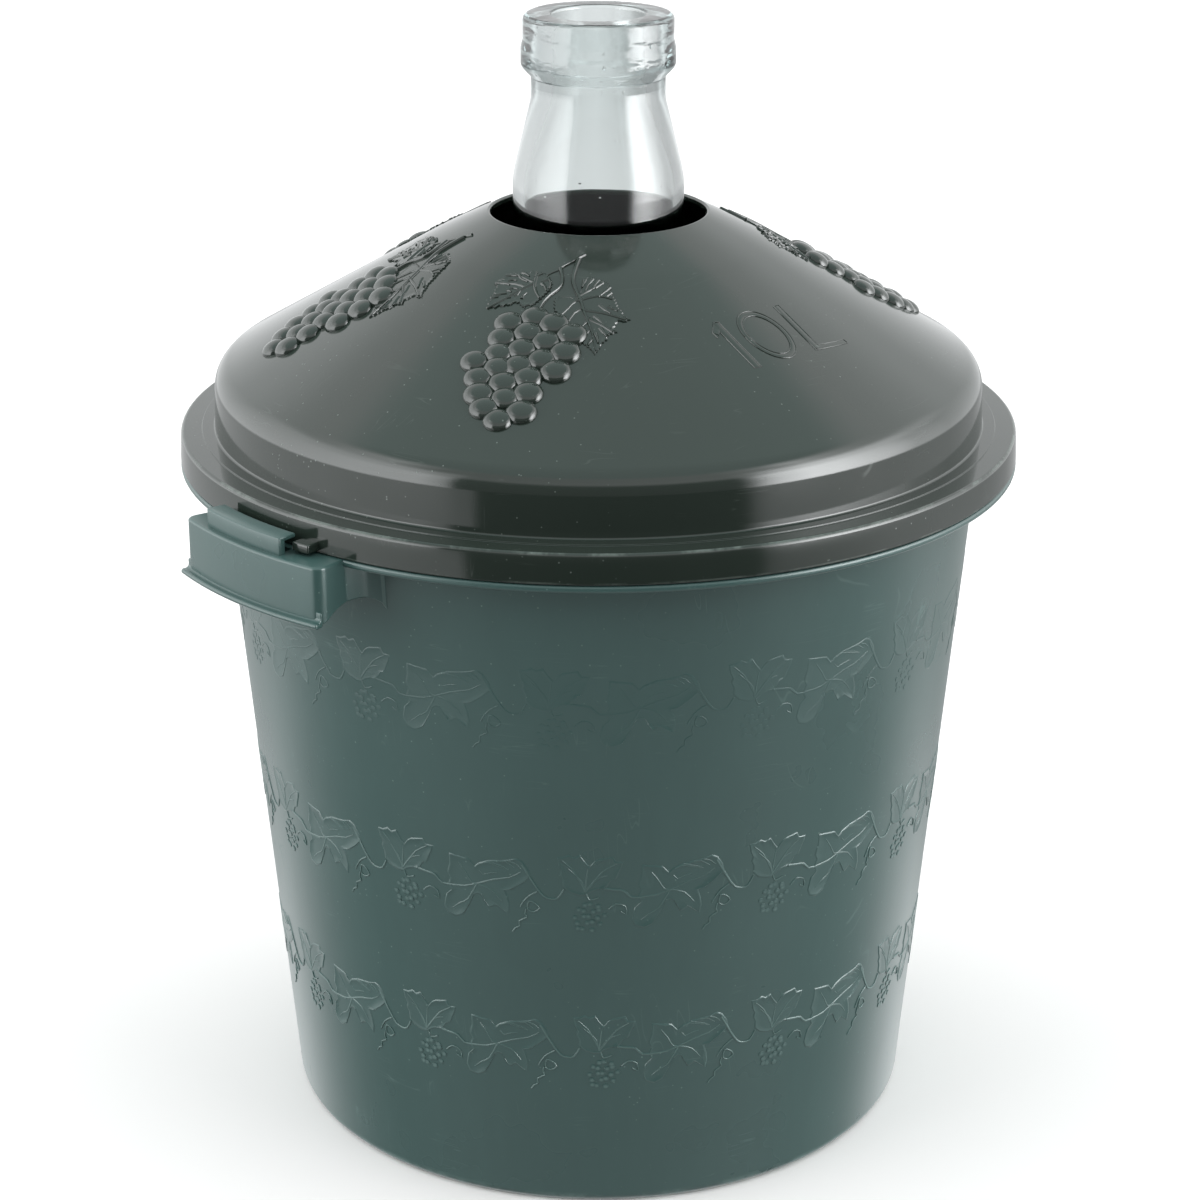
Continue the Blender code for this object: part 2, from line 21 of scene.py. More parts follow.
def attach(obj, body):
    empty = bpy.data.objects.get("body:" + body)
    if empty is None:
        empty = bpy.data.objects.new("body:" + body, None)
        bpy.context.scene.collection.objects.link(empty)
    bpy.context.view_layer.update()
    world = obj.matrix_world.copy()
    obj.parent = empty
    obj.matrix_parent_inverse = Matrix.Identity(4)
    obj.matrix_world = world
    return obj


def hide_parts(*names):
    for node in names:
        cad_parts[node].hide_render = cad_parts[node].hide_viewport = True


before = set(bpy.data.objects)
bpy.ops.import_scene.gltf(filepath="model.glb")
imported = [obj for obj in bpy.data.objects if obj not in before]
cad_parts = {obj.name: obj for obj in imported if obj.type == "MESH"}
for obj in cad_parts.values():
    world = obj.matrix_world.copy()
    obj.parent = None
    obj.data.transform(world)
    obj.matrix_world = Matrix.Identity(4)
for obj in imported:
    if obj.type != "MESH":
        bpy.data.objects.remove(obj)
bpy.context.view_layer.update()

LOG = logging.getLogger("demijohn")
MM = 0.001
FINE_TURN = math.radians(11.0)
STRAIGHT_TURN = math.radians(0.5)
SHARP_ANGLE = math.radians(38.0)
MERGE = 0.000002
SKIN = 0.00005
BEVEL_STEPS = 3
WIDE_TURN = math.radians(7.0)

Point = tuple[float, float]
Triple = tuple[float, float, float]
Colour = Triple
Row = list[bmesh.types.BMVert]


# Node trees


def operator(operation: str, flipped: bool = False) -> Callable[..., "Signal"]:
    """Make an operator of Signal.

    Args:
        operation: the Math node's operation.
        flipped: whether the other operand comes first.

    Returns:
        Method that adds the node and gives its signal.
    """

    def apply(signal: "Signal", *other: "Signal | float") -> "Signal":
        """Add the Math node."""
        return signal.wiring.maths(operation, *((*other, signal) if flipped else (signal, *other)))

    return apply


class Signal:
    """One output socket of a node tree. Operators on it add Math nodes."""

    __add__ = operator("ADD")
    __radd__ = operator("ADD", flipped=True)
    __sub__ = operator("SUBTRACT")
    __rsub__ = operator("SUBTRACT", flipped=True)
    __mul__ = operator("MULTIPLY")
    __rmul__ = operator("MULTIPLY", flipped=True)
    __truediv__ = operator("DIVIDE")
    __rtruediv__ = operator("DIVIDE", flipped=True)
    __pow__ = operator("POWER")
    __abs__ = operator("ABSOLUTE")

    def __init__(self, wiring: "Wiring", socket: bpy.types.NodeSocket | None) -> None:
        """Remember the socket and the tree that it is in."""
        self.wiring = wiring
        self.socket = socket

    def output(self, key: int | str) -> "Signal":
        """Another output of the same node, by place, identifier or name."""
        return Signal(self.wiring, self.wiring.pick(self.socket.node.outputs, key))

    def between(self, low: float, high: float) -> "Signal":
        """Smooth step from 0 at one value to 1 at another.

        Args:
            low: value at which the step is 0.
            high: value at which the step is 1; it may be the smaller.

        Returns:
            The step.
        """
        settings = {"interpolation_type": "SMOOTHSTEP"}
        if low < high:
            return self.wiring.node("ShaderNodeMapRange", settings, {0: self, 1: low, 2: high})
        return 1 - self.wiring.node("ShaderNodeMapRange", settings, {0: self, 1: high, 2: low})


class Wiring:
    """Adds nodes and links to one shader, world or geometry tree."""

    def __init__(self, tree: bpy.types.NodeTree) -> None:
        """Work on a tree."""
        self.tree = tree

    @staticmethod
    def pick(sockets: Iterable[bpy.types.NodeSocket], key: int | str) -> bpy.types.NodeSocket:
        """Find a socket in use.

        Args:
            sockets: a node's inputs or outputs.
            key: place, identifier or name of the socket.

        Returns:
            The first socket that fits, one that is enabled if there is one.
        """
        if isinstance(key, int):
            return sockets[key]
        fitting = [socket for socket in sockets if key in (socket.identifier, socket.name)]
        return sorted(fitting, key=lambda socket: not socket.enabled)[0]

    def feed(self, socket: bpy.types.NodeSocket, value: object) -> None:
        """Link a signal to a socket, or set the socket's own value.

        Args:
            socket: input to feed.
            value: signal, number, text, or tuple; a colour may leave out its alpha.
        """
        if isinstance(value, Signal):
            self.tree.links.new(value.socket, socket)
        elif socket.type == "RGBA" and len(value) == 3:
            socket.default_value = (*value, 1)
        else:
            socket.default_value = value

    def node(
        self,
        kind: str,
        settings: dict[str, object] | None = None,
        inputs: dict[int | str, object] | None = None,
        output: int | str = 0,
    ) -> Signal:
        """Add a node of any type.

        Args:
            kind: node type.
            settings: properties, set first; "stops" are a ramp's (place, colour) pairs.
            inputs: values or signals by socket place, identifier or name.
            output: the output that is wanted.

        Returns:
            That output's signal.
        """
        made = self.tree.nodes.new(kind)
        for name, value in (settings or {}).items():
            if name == "stops":
                self.fill_ramp(made.color_ramp, value)
            else:
                setattr(made, name, value)
        for key, value in (inputs or {}).items():
            self.feed(self.pick(made.inputs, key), value)
        return Signal(self, self.pick(made.outputs, output) if made.outputs else None)

    @staticmethod
    def fill_ramp(ramp: bpy.types.ColorRamp, stops: list[tuple[float, Colour]]) -> None:
        """Give a ramp its stops, in place of the two it starts with.

        Args:
            ramp: the ramp.
            stops: place and colour of each stop.
        """
        while len(ramp.elements) < len(stops):
            ramp.elements.new(1.0)
        for element, (place, colour) in zip(ramp.elements, stops):
            element.position = place
            element.color = (*colour, 1)

    def maths(self, operation: str, *values: "Signal | float") -> Signal:
        """Math node on signals and numbers."""
        return self.node("ShaderNodeMath", {"operation": operation}, dict(enumerate(values)))

    def scaled(self, vector: Signal, factor: "Signal | float") -> Signal:
        """Vector or colour times a factor."""
        return self.node("ShaderNodeVectorMath", {"operation": "SCALE"}, {0: vector, "Scale": factor})

    def vector(self, x: "Signal | float", y: "Signal | float", z: "Signal | float") -> Signal:
        """Vector of three parts."""
        return self.node("ShaderNodeCombineXYZ", inputs={0: x, 1: y, 2: z})

    def parts(self, vector: Signal) -> tuple[Signal, Signal, Signal]:
        """The three parts of a vector."""
        split = self.node("ShaderNodeSeparateXYZ", inputs={0: vector})
        return split, split.output("Y"), split.output("Z")

    def blend(self, factor: "Signal | float", under: "Signal | Colour", over: "Signal | Colour") -> Signal:
        """Mix of two colours: under at factor 0, over at factor 1."""
        inputs = {"Factor": factor, "A": under, "B": over}
        return self.node("ShaderNodeMix", {"data_type": "RGBA"}, inputs, "Result")

    def largest(self, *values: Signal) -> Signal:
        """Largest of some signals."""
        return functools.reduce(lambda first, second: self.maths("MAXIMUM", first, second), values)

    def noise(self, place: Signal, scale: float, detail: float = 2.0, roughness: float = 0.5) -> Signal:
        """Noise from 0 to 1 at a place."""
        inputs = {"Vector": place, "Scale": scale, "Detail": detail, "Roughness": roughness}
        return self.node("ShaderNodeTexNoise", inputs=inputs)

    def stretched(self, place: Signal, scale: Triple, turn: Triple = (0, 0, 0)) -> Signal:
        """Place turned by angles about X, Y and Z and stretched along the turned axes."""
        return self.node("ShaderNodeMapping", inputs={"Vector": place, "Rotation": turn, "Scale": scale})

    def cells(self, place: Signal, scale: float) -> tuple[Signal, Signal]:
        """Distance from the middle of each cell of a pattern, and a chance value of the cell."""
        pattern = self.node("ShaderNodeTexVoronoi", inputs={"Vector": place, "Scale": scale})
        return pattern, self.node("ShaderNodeSeparateColor", inputs={0: pattern.output("Color")})

    def bump(self, height: Signal, distance: float) -> Signal:
        """Normal over a height, whose unit is the distance."""
        return self.node("ShaderNodeBump", inputs={"Strength": 1.0, "Distance": distance, "Height": height})


class Grower:
    """Geometry Nodes tree with named inputs, run on a mesh to give a plain mesh."""

    def __init__(self, name: str, inputs: dict[str, str]) -> None:
        """Make the tree and its sockets.

        Args:
            name: name of the tree.
            inputs: socket type of each named input between the geometry and the material.
        """
        self.tree = bpy.data.node_groups.new(name, "GeometryNodeTree")
        self.identifiers: dict[str, str] = {}
        for label, kind in {"Geometry": "Geometry", **inputs, "Material": "Material"}.items():
            made = self.tree.interface.new_socket(label, in_out="INPUT", socket_type=f"NodeSocket{kind}")
            self.identifiers[label] = made.identifier
        self.tree.interface.new_socket("Geometry", in_out="OUTPUT", socket_type="NodeSocketGeometry")
        self.wiring = Wiring(self.tree)
        self.entry = self.wiring.node("NodeGroupInput")

    def given(self, label: str) -> Signal:
        """Signal of a named input."""
        return self.entry.output(label)

    def end(self, geometry: Signal) -> None:
        """Realize the copies, give them the material, and pass them to the output.

        Args:
            geometry: what the tree has made.
        """
        real = self.wiring.node("GeometryNodeRealizeInstances", inputs={"Geometry": geometry})
        inputs = {"Geometry": real, "Material": self.given("Material")}
        dressed = self.wiring.node("GeometryNodeSetMaterial", inputs=inputs)
        self.wiring.node("NodeGroupOutput", inputs={0: dressed})

    def grow(self, name: str, mesh: bpy.types.Mesh, values: dict[str, object]) -> bpy.types.Mesh:
        """Run the tree.

        Args:
            name: name for the mesh.
            mesh: mesh that goes in.
            values: values of the named inputs.

        Returns:
            Plain mesh of what comes out.
        """
        seed = placed(name, mesh)
        modifier = seed.modifiers.new(name, "NODES")
        modifier.node_group = self.tree
        for label, value in values.items():
            modifier[self.identifiers[label]] = value
        depsgraph = bpy.context.evaluated_depsgraph_get()
        grown = bpy.data.meshes.new_from_object(seed.evaluated_get(depsgraph))
        grown.name = name
        bpy.data.objects.remove(seed)
        return grown


def turning_tree() -> Grower:
    """Tree that turns a profile, a row of (radius, 0, height) points, about Z.

    Returns:
        Grower with inputs Sides, Unevenness (metres), Grain (per metre) and Material.
    """
    grower = Grower("turned_shell", {"Sides": "Int", "Unevenness": "Float", "Grain": "Float"})
    wiring = grower.wiring
    profile = grower.given("Geometry")
    sides = grower.given("Sides")
    count = wiring.node("GeometryNodeAttributeDomainSize", inputs={"Geometry": profile}, output="Point Count")
    grid = wiring.node("GeometryNodeMeshGrid", inputs={"Vertices X": sides + 1, "Vertices Y": count})
    index = wiring.node("GeometryNodeInputIndex")
    column = wiring.maths("FLOOR", (index + 0.5) / count)
    drawn = wiring.node("GeometryNodeInputPosition")
    inputs = {"Geometry": profile, "Value": drawn, "Index": index - column * count}
    place = wiring.node("GeometryNodeSampleIndex", {"data_type": "FLOAT_VECTOR"}, inputs, "Value")
    radius, _, height = wiring.parts(place)
    angle = column * math.tau / sides
    x, y = radius * wiring.maths("COSINE", angle), radius * wiring.maths("SINE", angle)
    turned = wiring.vector(x, y, height)
    shell = wiring.node("GeometryNodeSetPosition", inputs={"Geometry": grid, "Position": turned})
    joined = wiring.node("GeometryNodeMergeByDistance", inputs={"Geometry": shell, "Distance": MERGE})
    swell = wiring.noise(wiring.node("GeometryNodeInputPosition"), grower.given("Grain"), detail=1.0) - 0.5
    push = wiring.scaled(wiring.node("GeometryNodeInputNormal"), swell * grower.given("Unevenness"))
    uneven = wiring.node("GeometryNodeSetPosition", inputs={"Geometry": joined, "Offset": push})
    grower.end(uneven)
    return grower


def ring_tree() -> Grower:
    """Tree that copies a mesh round Z.

    Returns:
        Grower with inputs Count, First (radians), Step (radians) and Material.
    """
    grower = Grower("ring_of_copies", {"Count": "Int", "First": "Float", "Step": "Float"})
    wiring = grower.wiring
    spots = wiring.node("GeometryNodePoints", inputs={"Count": grower.given("Count")})
    index = wiring.node("GeometryNodeInputIndex")
    turn = wiring.vector(0, 0, grower.given("First") + index * grower.given("Step"))
    rotation = wiring.node("FunctionNodeEulerToRotation", inputs={0: turn})
    inputs = {"Points": spots, "Instance": grower.given("Geometry"), "Rotation": rotation}
    grower.end(wiring.node("GeometryNodeInstanceOnPoints", inputs=inputs))
    return grower


def stud_tree() -> Grower:
    """Tree that puts a round stud on every point, turned by the point's facing and swollen by its girth.

    Returns:
        Grower with inputs Across, Along, Rise and Sink (metres), Segments, Rings and Material.
    """
    sizes = {"Across": "Float", "Along": "Float", "Rise": "Float", "Sink": "Float"}
    grower = Grower("studs", {**sizes, "Segments": "Int", "Rings": "Int"})
    wiring = grower.wiring
    inputs = {"Segments": grower.given("Segments"), "Rings": grower.given("Rings"), "Radius": 1.0}
    ball = wiring.node("GeometryNodeMeshUVSphere", inputs=inputs)
    x, y, z = wiring.parts(wiring.node("GeometryNodeInputPosition"))
    upper = wiring.maths("MAXIMUM", z, 0.0) * grower.given("Rise")
    lower = wiring.maths("MINIMUM", z, 0.0) * grower.given("Sink")
    shaped = wiring.vector(x * grower.given("Across"), y * grower.given("Along"), upper + lower)
    stud = wiring.node("GeometryNodeSetPosition", inputs={"Geometry": ball, "Position": shaped})
    facing, girth = (
        wiring.node("GeometryNodeInputNamedAttribute", {"data_type": kind}, {"Name": name}, "Attribute")
        for name, kind in (("facing", "FLOAT_VECTOR"), ("girth", "FLOAT"))
    )
    rotation = wiring.node("FunctionNodeEulerToRotation", inputs={0: facing})
    inputs = {"Points": grower.given("Geometry"), "Instance": stud, "Rotation": rotation, "Scale": girth}
    grower.end(wiring.node("GeometryNodeInstanceOnPoints", inputs=inputs))
    return grower


# Outlines and meshes


def rounded(corners: list[Triple], turn_step: float = FINE_TURN) -> list[Point]:
    """Closed outline in which each corner becomes an arc.

    Args:
        corners: (a, b, radius) of each corner; radius 0 keeps it sharp.
        turn_step: most that the outline turns between two points of an arc.

    Returns:
        Points of the outline, without the first one again.
    """
    outline = []
    for index, (a, b, radius) in enumerate(corners):
        before = corners[index - 1]
        after = corners[(index + 1) % len(corners)]
        run_in = math.hypot(a - before[0], b - before[1])
        run_out = math.hypot(after[0] - a, after[1] - b)
        heading_in = math.atan2(b - before[1], a - before[0])
        heading_out = math.atan2(after[1] - b, after[0] - a)
        turn = math.remainder(heading_out - heading_in, math.tau)
        if radius == 0 or abs(turn) < STRAIGHT_TURN:
            outline.append((a, b))
            continue
        tangent = min(radius * math.tan(abs(turn) / 2), run_in / 2, run_out / 2)
        radius = tangent / math.tan(abs(turn) / 2)
        side = math.copysign(1, turn)
        centre = (
            a - tangent * math.cos(heading_in) - side * radius * math.sin(heading_in),
            b - tangent * math.sin(heading_in) + side * radius * math.cos(heading_in),
        )
        steps = max(1, math.ceil(abs(turn) / turn_step))
        for step in range(steps + 1):
            heading = heading_in + turn * step / steps
            outline.append(
                (centre[0] + side * radius * math.sin(heading), centre[1] - side * radius * math.cos(heading))
            )
    return outline


def pairs(*numbers: float) -> tuple[Point, ...]:
    """Points from numbers that are taken two by two."""
    return tuple(zip(numbers[::2], numbers[1::2]))


def rectangle(left: float, right: float, low: float, high: float) -> list[Point]:
    """Corners of a rectangle."""
    return [(left, low), (right, low), (right, high), (left, high)]


def polar(radius: float, angle: float) -> Point:
    """Point of the plan at a radius and an angle."""
    return radius * math.cos(angle), radius * math.sin(angle)


def arc(radius: float, start: float, end: float, steps: int) -> list[Point]:
    """Points of the plan along an arc, both ends included."""
    return [polar(radius, start + (end - start) * step / steps) for step in range(steps + 1)]


def curve_through(points: list[Point], steps: int, closed: bool = False) -> list[Point]:
    """Smooth path through points, a cubic from each to the next.

    Args:
        points: points to pass through.
        steps: steps from one point to the next.
        closed: whether the path comes back to its start.

    Returns:
        Points of the path; a closed path leaves out the first one again.
    """
    last = len(points) - 1
    path = []
    for index in range(len(points) if closed else last):
        if closed:
            four = [points[(index + shift) % len(points)] for shift in (-1, 0, 1, 2)]
        else:
            four = [points[min(max(index + shift, 0), last)] for shift in (-1, 0, 1, 2)]
        for step in range(steps):
            t = step / steps
            weights = (
                (-t + 2 * t * t - t**3) / 2,
                (2 - 5 * t * t + 3 * t**3) / 2,
                (t + 4 * t * t - 3 * t**3) / 2,
                (-t * t + t**3) / 2,
            )
            path.append(
                tuple(sum(weight * point[axis] for weight, point in zip(weights, four)) for axis in (0, 1))
            )
    return path if closed else [*path, points[-1]]


def filled(points: list[Point], spacing: float) -> list[Point]:
    """Fill an open path.

    Args:
        points: points of the path.
        spacing: furthest that two points may be apart.

    Returns:
        The path with the points that it needs added on its straight lines.
    """
    path = [points[0]]
    for before, after in zip(points, points[1:]):
        steps = max(1, math.ceil(math.dist(before, after) / spacing))
        path += [
            tuple(start + (end - start) * step / steps for start, end in zip(before, after))
            for step in range(1, steps + 1)
        ]
    return path


def value_on(table: list[Point], place: float) -> float:
    """Read a table, on straight lines between its points.

    Args:
        table: (place, value) points, with rising places.
        place: place to read.

    Returns:
        Value at the place.
    """
    for (low, low_value), (high, high_value) in zip(table, table[1:]):
        if place <= high:
            return low_value + (high_value - low_value) * max(0.0, place - low) / (high - low)
    return table[-1][1]


class Draft:
    """Mesh in the making, gathered from rows of points and from other meshes."""

    def __init__(self) -> None:
        """Start with nothing."""
        self.build = bmesh.new()

    def row(self, places: Iterable[Iterable[float]]) -> Row:
        """Add points."""
        return [self.build.verts.new(place) for place in places]

    def skin(self, near: Row, far: Row, closed: bool = True) -> None:
        """Join two rows with faces.

        Args:
            near: one row.
            far: the other, of as many points.
            closed: whether the rows go all the way round.
        """
        count = len(near)
        for index in range(count if closed else count - 1):
            after = (index + 1) % count
            self.build.faces.new((near[index], near[after], far[after], far[index]))

    def skins(self, rows: list[Row], closed: bool = True) -> None:
        """Join each row to the next, as skin does."""
        for near, far in zip(rows, rows[1:]):
            self.skin(near, far, closed)

    def cap(self, row: Row) -> None:
        """Fill a closed row with one face."""
        self.build.faces.new(row)

    def fan(self, tip: bmesh.types.BMVert, row: Row) -> None:
        """Join a point to every edge of a closed row."""
        for index, point in enumerate(row):
            self.build.faces.new((tip, point, row[(index + 1) % len(row)]))

    def add(self, mesh: bpy.types.Mesh) -> None:
        """Take in a copy of a mesh."""
        self.build.from_mesh(mesh)

    def mesh(self, name: str) -> bpy.types.Mesh:
        """Finish the mesh, faces outwards and smooth between sharp edges.

        Args:
            name: name for the mesh.

        Returns:
            The mesh, without a material.
        """
        bmesh.ops.remove_doubles(self.build, verts=self.build.verts, dist=MERGE)
        bmesh.ops.recalc_face_normals(self.build, faces=self.build.faces)
        made = bpy.data.meshes.new(name)
        self.build.to_mesh(made)
        self.build.free()
        made.materials.clear()
        made.shade_smooth()
        made.set_sharp_from_angle(angle=SHARP_ANGLE)
        return made


def placed(name: str, mesh: bpy.types.Mesh) -> bpy.types.Object:
    """Put a mesh in the scene.

    Args:
        name: name for the object.
        mesh: the mesh.

    Returns:
        Object at the origin.
    """
    made = bpy.data.objects.new(name, mesh)
    bpy.context.scene.collection.objects.link(made)
    return made


def piece_of(name: str, mesh: bpy.types.Mesh, material: bpy.types.Material) -> bpy.types.Object:
    """Object at the origin with a mesh and one material."""
    mesh.materials.append(material)
    return placed(name, mesh)


def turned(
    grower: Grower, name: str, outline: list[Point], sides: int, uneven: Point = (0.0, 1.0)
) -> bpy.types.Mesh:
    """Turn an outline about Z.

    Args:
        grower: the turning tree.
        name: name for the mesh.
        outline: (radius, height) points; it starts and ends on the axis, or else is a loop.
        sides: steps round the axis.
        uneven: how far the face swells and sinks, and its grain per metre.

    Returns:
        The closed shell.
    """
    points = outline if outline[0][0] == 0 else [*outline, outline[0]]
    profile = bpy.data.meshes.new(name)
    profile.from_pydata([(radius, 0, height) for radius, height in points], [], [])
    values = {"Sides": sides, "Unevenness": uneven[0], "Grain": uneven[1]}
    return grower.grow(name, profile, values)


def copied(
    grower: Grower, name: str, mesh: bpy.types.Mesh, count: int, first: float = 0.0
) -> bpy.types.Mesh:
    """Copies of a mesh by the ring tree, evenly all the way round, the first one turned by an angle."""
    return grower.grow(name, mesh, {"Count": count, "First": first, "Step": math.tau / count})


def swept(outline: list[Point], start: float, end: float, steps: int) -> Draft:
    """Carry an outline round Z.

    Args:
        outline: closed (radius, height) outline.
        start: angle of its first place.
        end: angle of its last place.
        steps: steps between them.

    Returns:
        The closed shape.
    """
    draft = Draft()
    rows = []
    for step in range(steps + 1):
        angle = start + (end - start) * step / steps
        rows.append(draft.row((*polar(radius, angle), height) for radius, height in outline))
    draft.skins(rows)
    draft.cap(rows[0])
    draft.cap(rows[-1])
    return draft


def extruded(outline: list[Point], bottom: float, top: float) -> Draft:
    """Make a plate.

    Args:
        outline: closed (x, y) outline.
        bottom: height of its underside.
        top: height of its top.

    Returns:
        The closed shape.
    """
    draft = Draft()
    low = draft.row((x, y, bottom) for x, y in outline)
    high = draft.row((x, y, top) for x, y in outline)
    draft.skin(low, high)
    draft.cap(low)
    draft.cap(high)
    return draft


def worked(name: str, draft: Draft, cutter: Draft | None = None, bevel: float = 0.0) -> bpy.types.Mesh:
    """Cut a shape and soften its edges.

    Args:
        name: name for the mesh.
        draft: the shape.
        cutter: shape that is taken away, if any.
        bevel: width of the softened edges.

    Returns:
        The finished mesh.
    """
    body = placed(name, draft.mesh(name))
    tool = None
    if cutter:
        tool = placed(f"{name}_cutter", cutter.mesh(f"{name}_cutter"))
        cut = body.modifiers.new("cut", "BOOLEAN")
        cut.operation = "DIFFERENCE"
        cut.solver = "EXACT"
        cut.object = tool
    if bevel:
        soft = body.modifiers.new("soft", "BEVEL")
        soft.width = bevel
        soft.segments = BEVEL_STEPS
        soft.limit_method = "ANGLE"
        soft.angle_limit = SHARP_ANGLE
    depsgraph = bpy.context.evaluated_depsgraph_get()
    made = bpy.data.meshes.new_from_object(body.evaluated_get(depsgraph))
    bpy.data.objects.remove(body)
    if tool:
        bpy.data.objects.remove(tool)
    return made


# Reliefs


class MouldFace:
    """Outer face of a turned moulding, on which reliefs are laid by their place in millimetres."""

    def __init__(
        self, outline: list[Point], girth: float | None = None, zero: Point = (0, 0), boldness: float = 1.0
    ) -> None:
        """Measure the face.

        Args:
            outline: (radius, height) points of the face from its start.
            girth: radius at which widths are true, if widths shrink and grow with the face.
            zero: millimetres across and along the face at which a relief's own zero lies.
            boldness: share of its rise that a relief keeps.
        """
        self.outline = outline
        self.girth = girth
        self.zero = zero
        self.boldness = boldness
        self.marks = [0.0]
        for before, after in zip(outline, outline[1:]):
            self.marks.append(self.marks[-1] + math.dist(before, after))
        self.normals = [self.normal_at(index) for index in range(len(outline))]

    def normal_at(self, index: int) -> Point:
        """Outward normal of the outline.

        Args:
            index: which of its points.

        Returns:
            Parts of the normal by radius and height.
        """
        before = self.outline[max(index - 1, 0)]
        after = self.outline[min(index + 1, len(self.outline) - 1)]
        run = math.dist(before, after)
        side = math.copysign(1, after[1] - before[1])
        return side * (after[1] - before[1]) / run, side * (before[0] - after[0]) / run

    def station(self, across: float, along: float) -> tuple[float, float, float, float, float]:
        """Find a place of the face.

        Args:
            across: millimetres to the right, seen from outside.
            along: millimetres along the face.

        Returns:
            Radius, height, parts of the normal by radius and height, and the angle that across makes.
        """
        reach = (along + self.zero[1]) * MM
        last = len(self.marks) - 2
        index = next((index for index in range(last) if reach < self.marks[index + 1]), last)
        share = (reach - self.marks[index]) / (self.marks[index + 1] - self.marks[index])
        ends = (self.outline[index] + self.normals[index], self.outline[index + 1] + self.normals[index + 1])
        radius, height, out, up = (low + (high - low) * share for low, high in zip(*ends))
        size = math.hypot(out, up)
        return radius, height, out / size, up / size, (across + self.zero[0]) * MM / (self.girth or radius)

    def place(self, across: float, along: float, rise: float, angle: float) -> Vector:
        """Point on or over the face.

        Args:
            across: millimetres to the right, seen from outside.
            along: millimetres along the face.
            rise: millimetres off the face.
            angle: angle about Z of the relief's middle line.

        Returns:
            The point in metres.
        """
        radius, height, out, up, turn = self.station(across, along)
        lift = (rise * self.boldness if rise > 0 else rise) * MM
        return Vector((*polar(radius + lift * out, angle + turn), height + lift * up))

    def facing(self, across: float, along: float, angle: float) -> Triple:
        """Way that the face looks.

        Args:
            across: millimetres to the right, seen from outside.
            along: millimetres along the face.
            angle: angle about Z of the relief's middle line.

        Returns:
            Angles about X, Y and Z that turn +Z to the normal and +X to the right.
        """
        _, _, out, up, turn = self.station(across, along)
        normal = Vector((*polar(out, angle + turn), up))
        right = Vector((-math.sin(angle + turn), math.cos(angle + turn), 0))
        return tuple(Matrix((right, normal.cross(right), normal)).transposed().to_euler())


class Ridge(Enum):
    """Section of a raised line: (share of its half width, share of its rise); below 0 is under the face."""

    ROUND = pairs(-1, -1, -0.86, 0.5, -0.42, 0.93, 0.42, 0.93, 0.86, 0.5, 1, -1)
    FLAT = pairs(-1, -1, -0.96, 0.6, -0.82, 1, 0.82, 1, 0.96, 0.6, 1, -1)
    GENTLE = pairs(-1, -1, -0.95, 0.02, -0.5, 0.7, -0.15, 1, 0.15, 1, 0.5, 0.7, 0.95, 0.02, 1, -1)


@dataclass(frozen=True)
class DrawnLeaf:
    """Leaf in low relief, from its drawn edge and the veins and folds on it. Millimetres."""

    middle: Point
    edge: tuple[Point, ...]
    veins: tuple[tuple[Point, ...], ...]
    folds: tuple[tuple[Point, ...], ...] = ()
    rise: float = 0.16
    edge_rise: float = 0.24
    rim: float = 0.45
    vein_rise: float = 0.14
    vein_width: float = 0.9
    vein_end: float = 0.4
    fold_width: float = 0.6
    fold_steps: int = 1
    ridge: Ridge = Ridge.ROUND
    tooth: float = 0.0
    pitch: float = 2.0
    rings: int = 3
    skirt: float = 0.42
    sink: float = 0.3
    rim_inner: float = 1.3
    rim_outer: float = 0.6
    edge_droop: float = 0.9
    foot_spread: float = 1.2
    vein_steps: int = 2

    def outline(self) -> list[Point]:
        """Edge of the leaf.

        Returns:
            Points of the edge, every other one drawn in to make its teeth.
        """
        outline = []
        for index, place in enumerate(filled([*self.edge, self.edge[0]], self.pitch)[:-1]):
            share = 1 - (index % 2) * self.tooth / math.dist(place, self.middle)
            outline.append(tuple(start + (end - start) * share for start, end in zip(self.middle, place)))
        return outline

    def lay(self, draft: Draft, face: MouldFace, angle: float) -> None:
        """Add the leaf to a draft.

        Args:
            draft: draft of the relief.
            face: face that it lies on.
            angle: angle about Z of the relief's middle line.
        """
        outline = self.outline()

        def ring(share: float, rise: float, spread: float = 0.0) -> Row:
            """Lay a row of points inside or outside the edge.

            Args:
                share: share of the way from the middle to the edge.
                rise: millimetres off the face.
                spread: millimetres past that share.

            Returns:
                The row.
            """
            places = []
            for place in outline:
                part = share + spread / math.dist(place, self.middle)
                across, along = (start + (end - start) * part for start, end in zip(self.middle, place))
                places.append(face.place(across, along, rise, angle))
            return draft.row(places)

        middle = draft.row([face.place(*self.middle, self.rise, angle)])[0]
        rows = [ring(step / self.rings, self.rise) for step in range(1, self.rings)]
        rim = (
            (self.rise, -self.rim * self.rim_inner),
            (self.edge_rise, -self.rim * self.rim_outer),
            (self.edge_rise * self.edge_droop, 0.0),
            (0.0, self.skirt),
            (-self.sink, self.skirt * self.foot_spread),
        )
        rows += [ring(1.0, rise, spread) for rise, spread in rim]
        draft.fan(middle, rows[0])
        draft.skins(rows)
        draft.cap(rows[-1])
        high = self.rise + self.vein_rise
        base = self.rise if self.ridge is Ridge.GENTLE else 0.0
        lines = [(path, self.vein_width, self.vein_end, self.vein_steps) for path in self.veins]
        lines += [(path, self.fold_width, self.fold_width / 2, self.fold_steps) for path in self.folds]
        for path, width, end, steps in lines:
            stroke = Stroke(path, width, end, rise=high, base=base, ridge=self.ridge, steps=steps)
            stroke.lay(draft, face, angle)


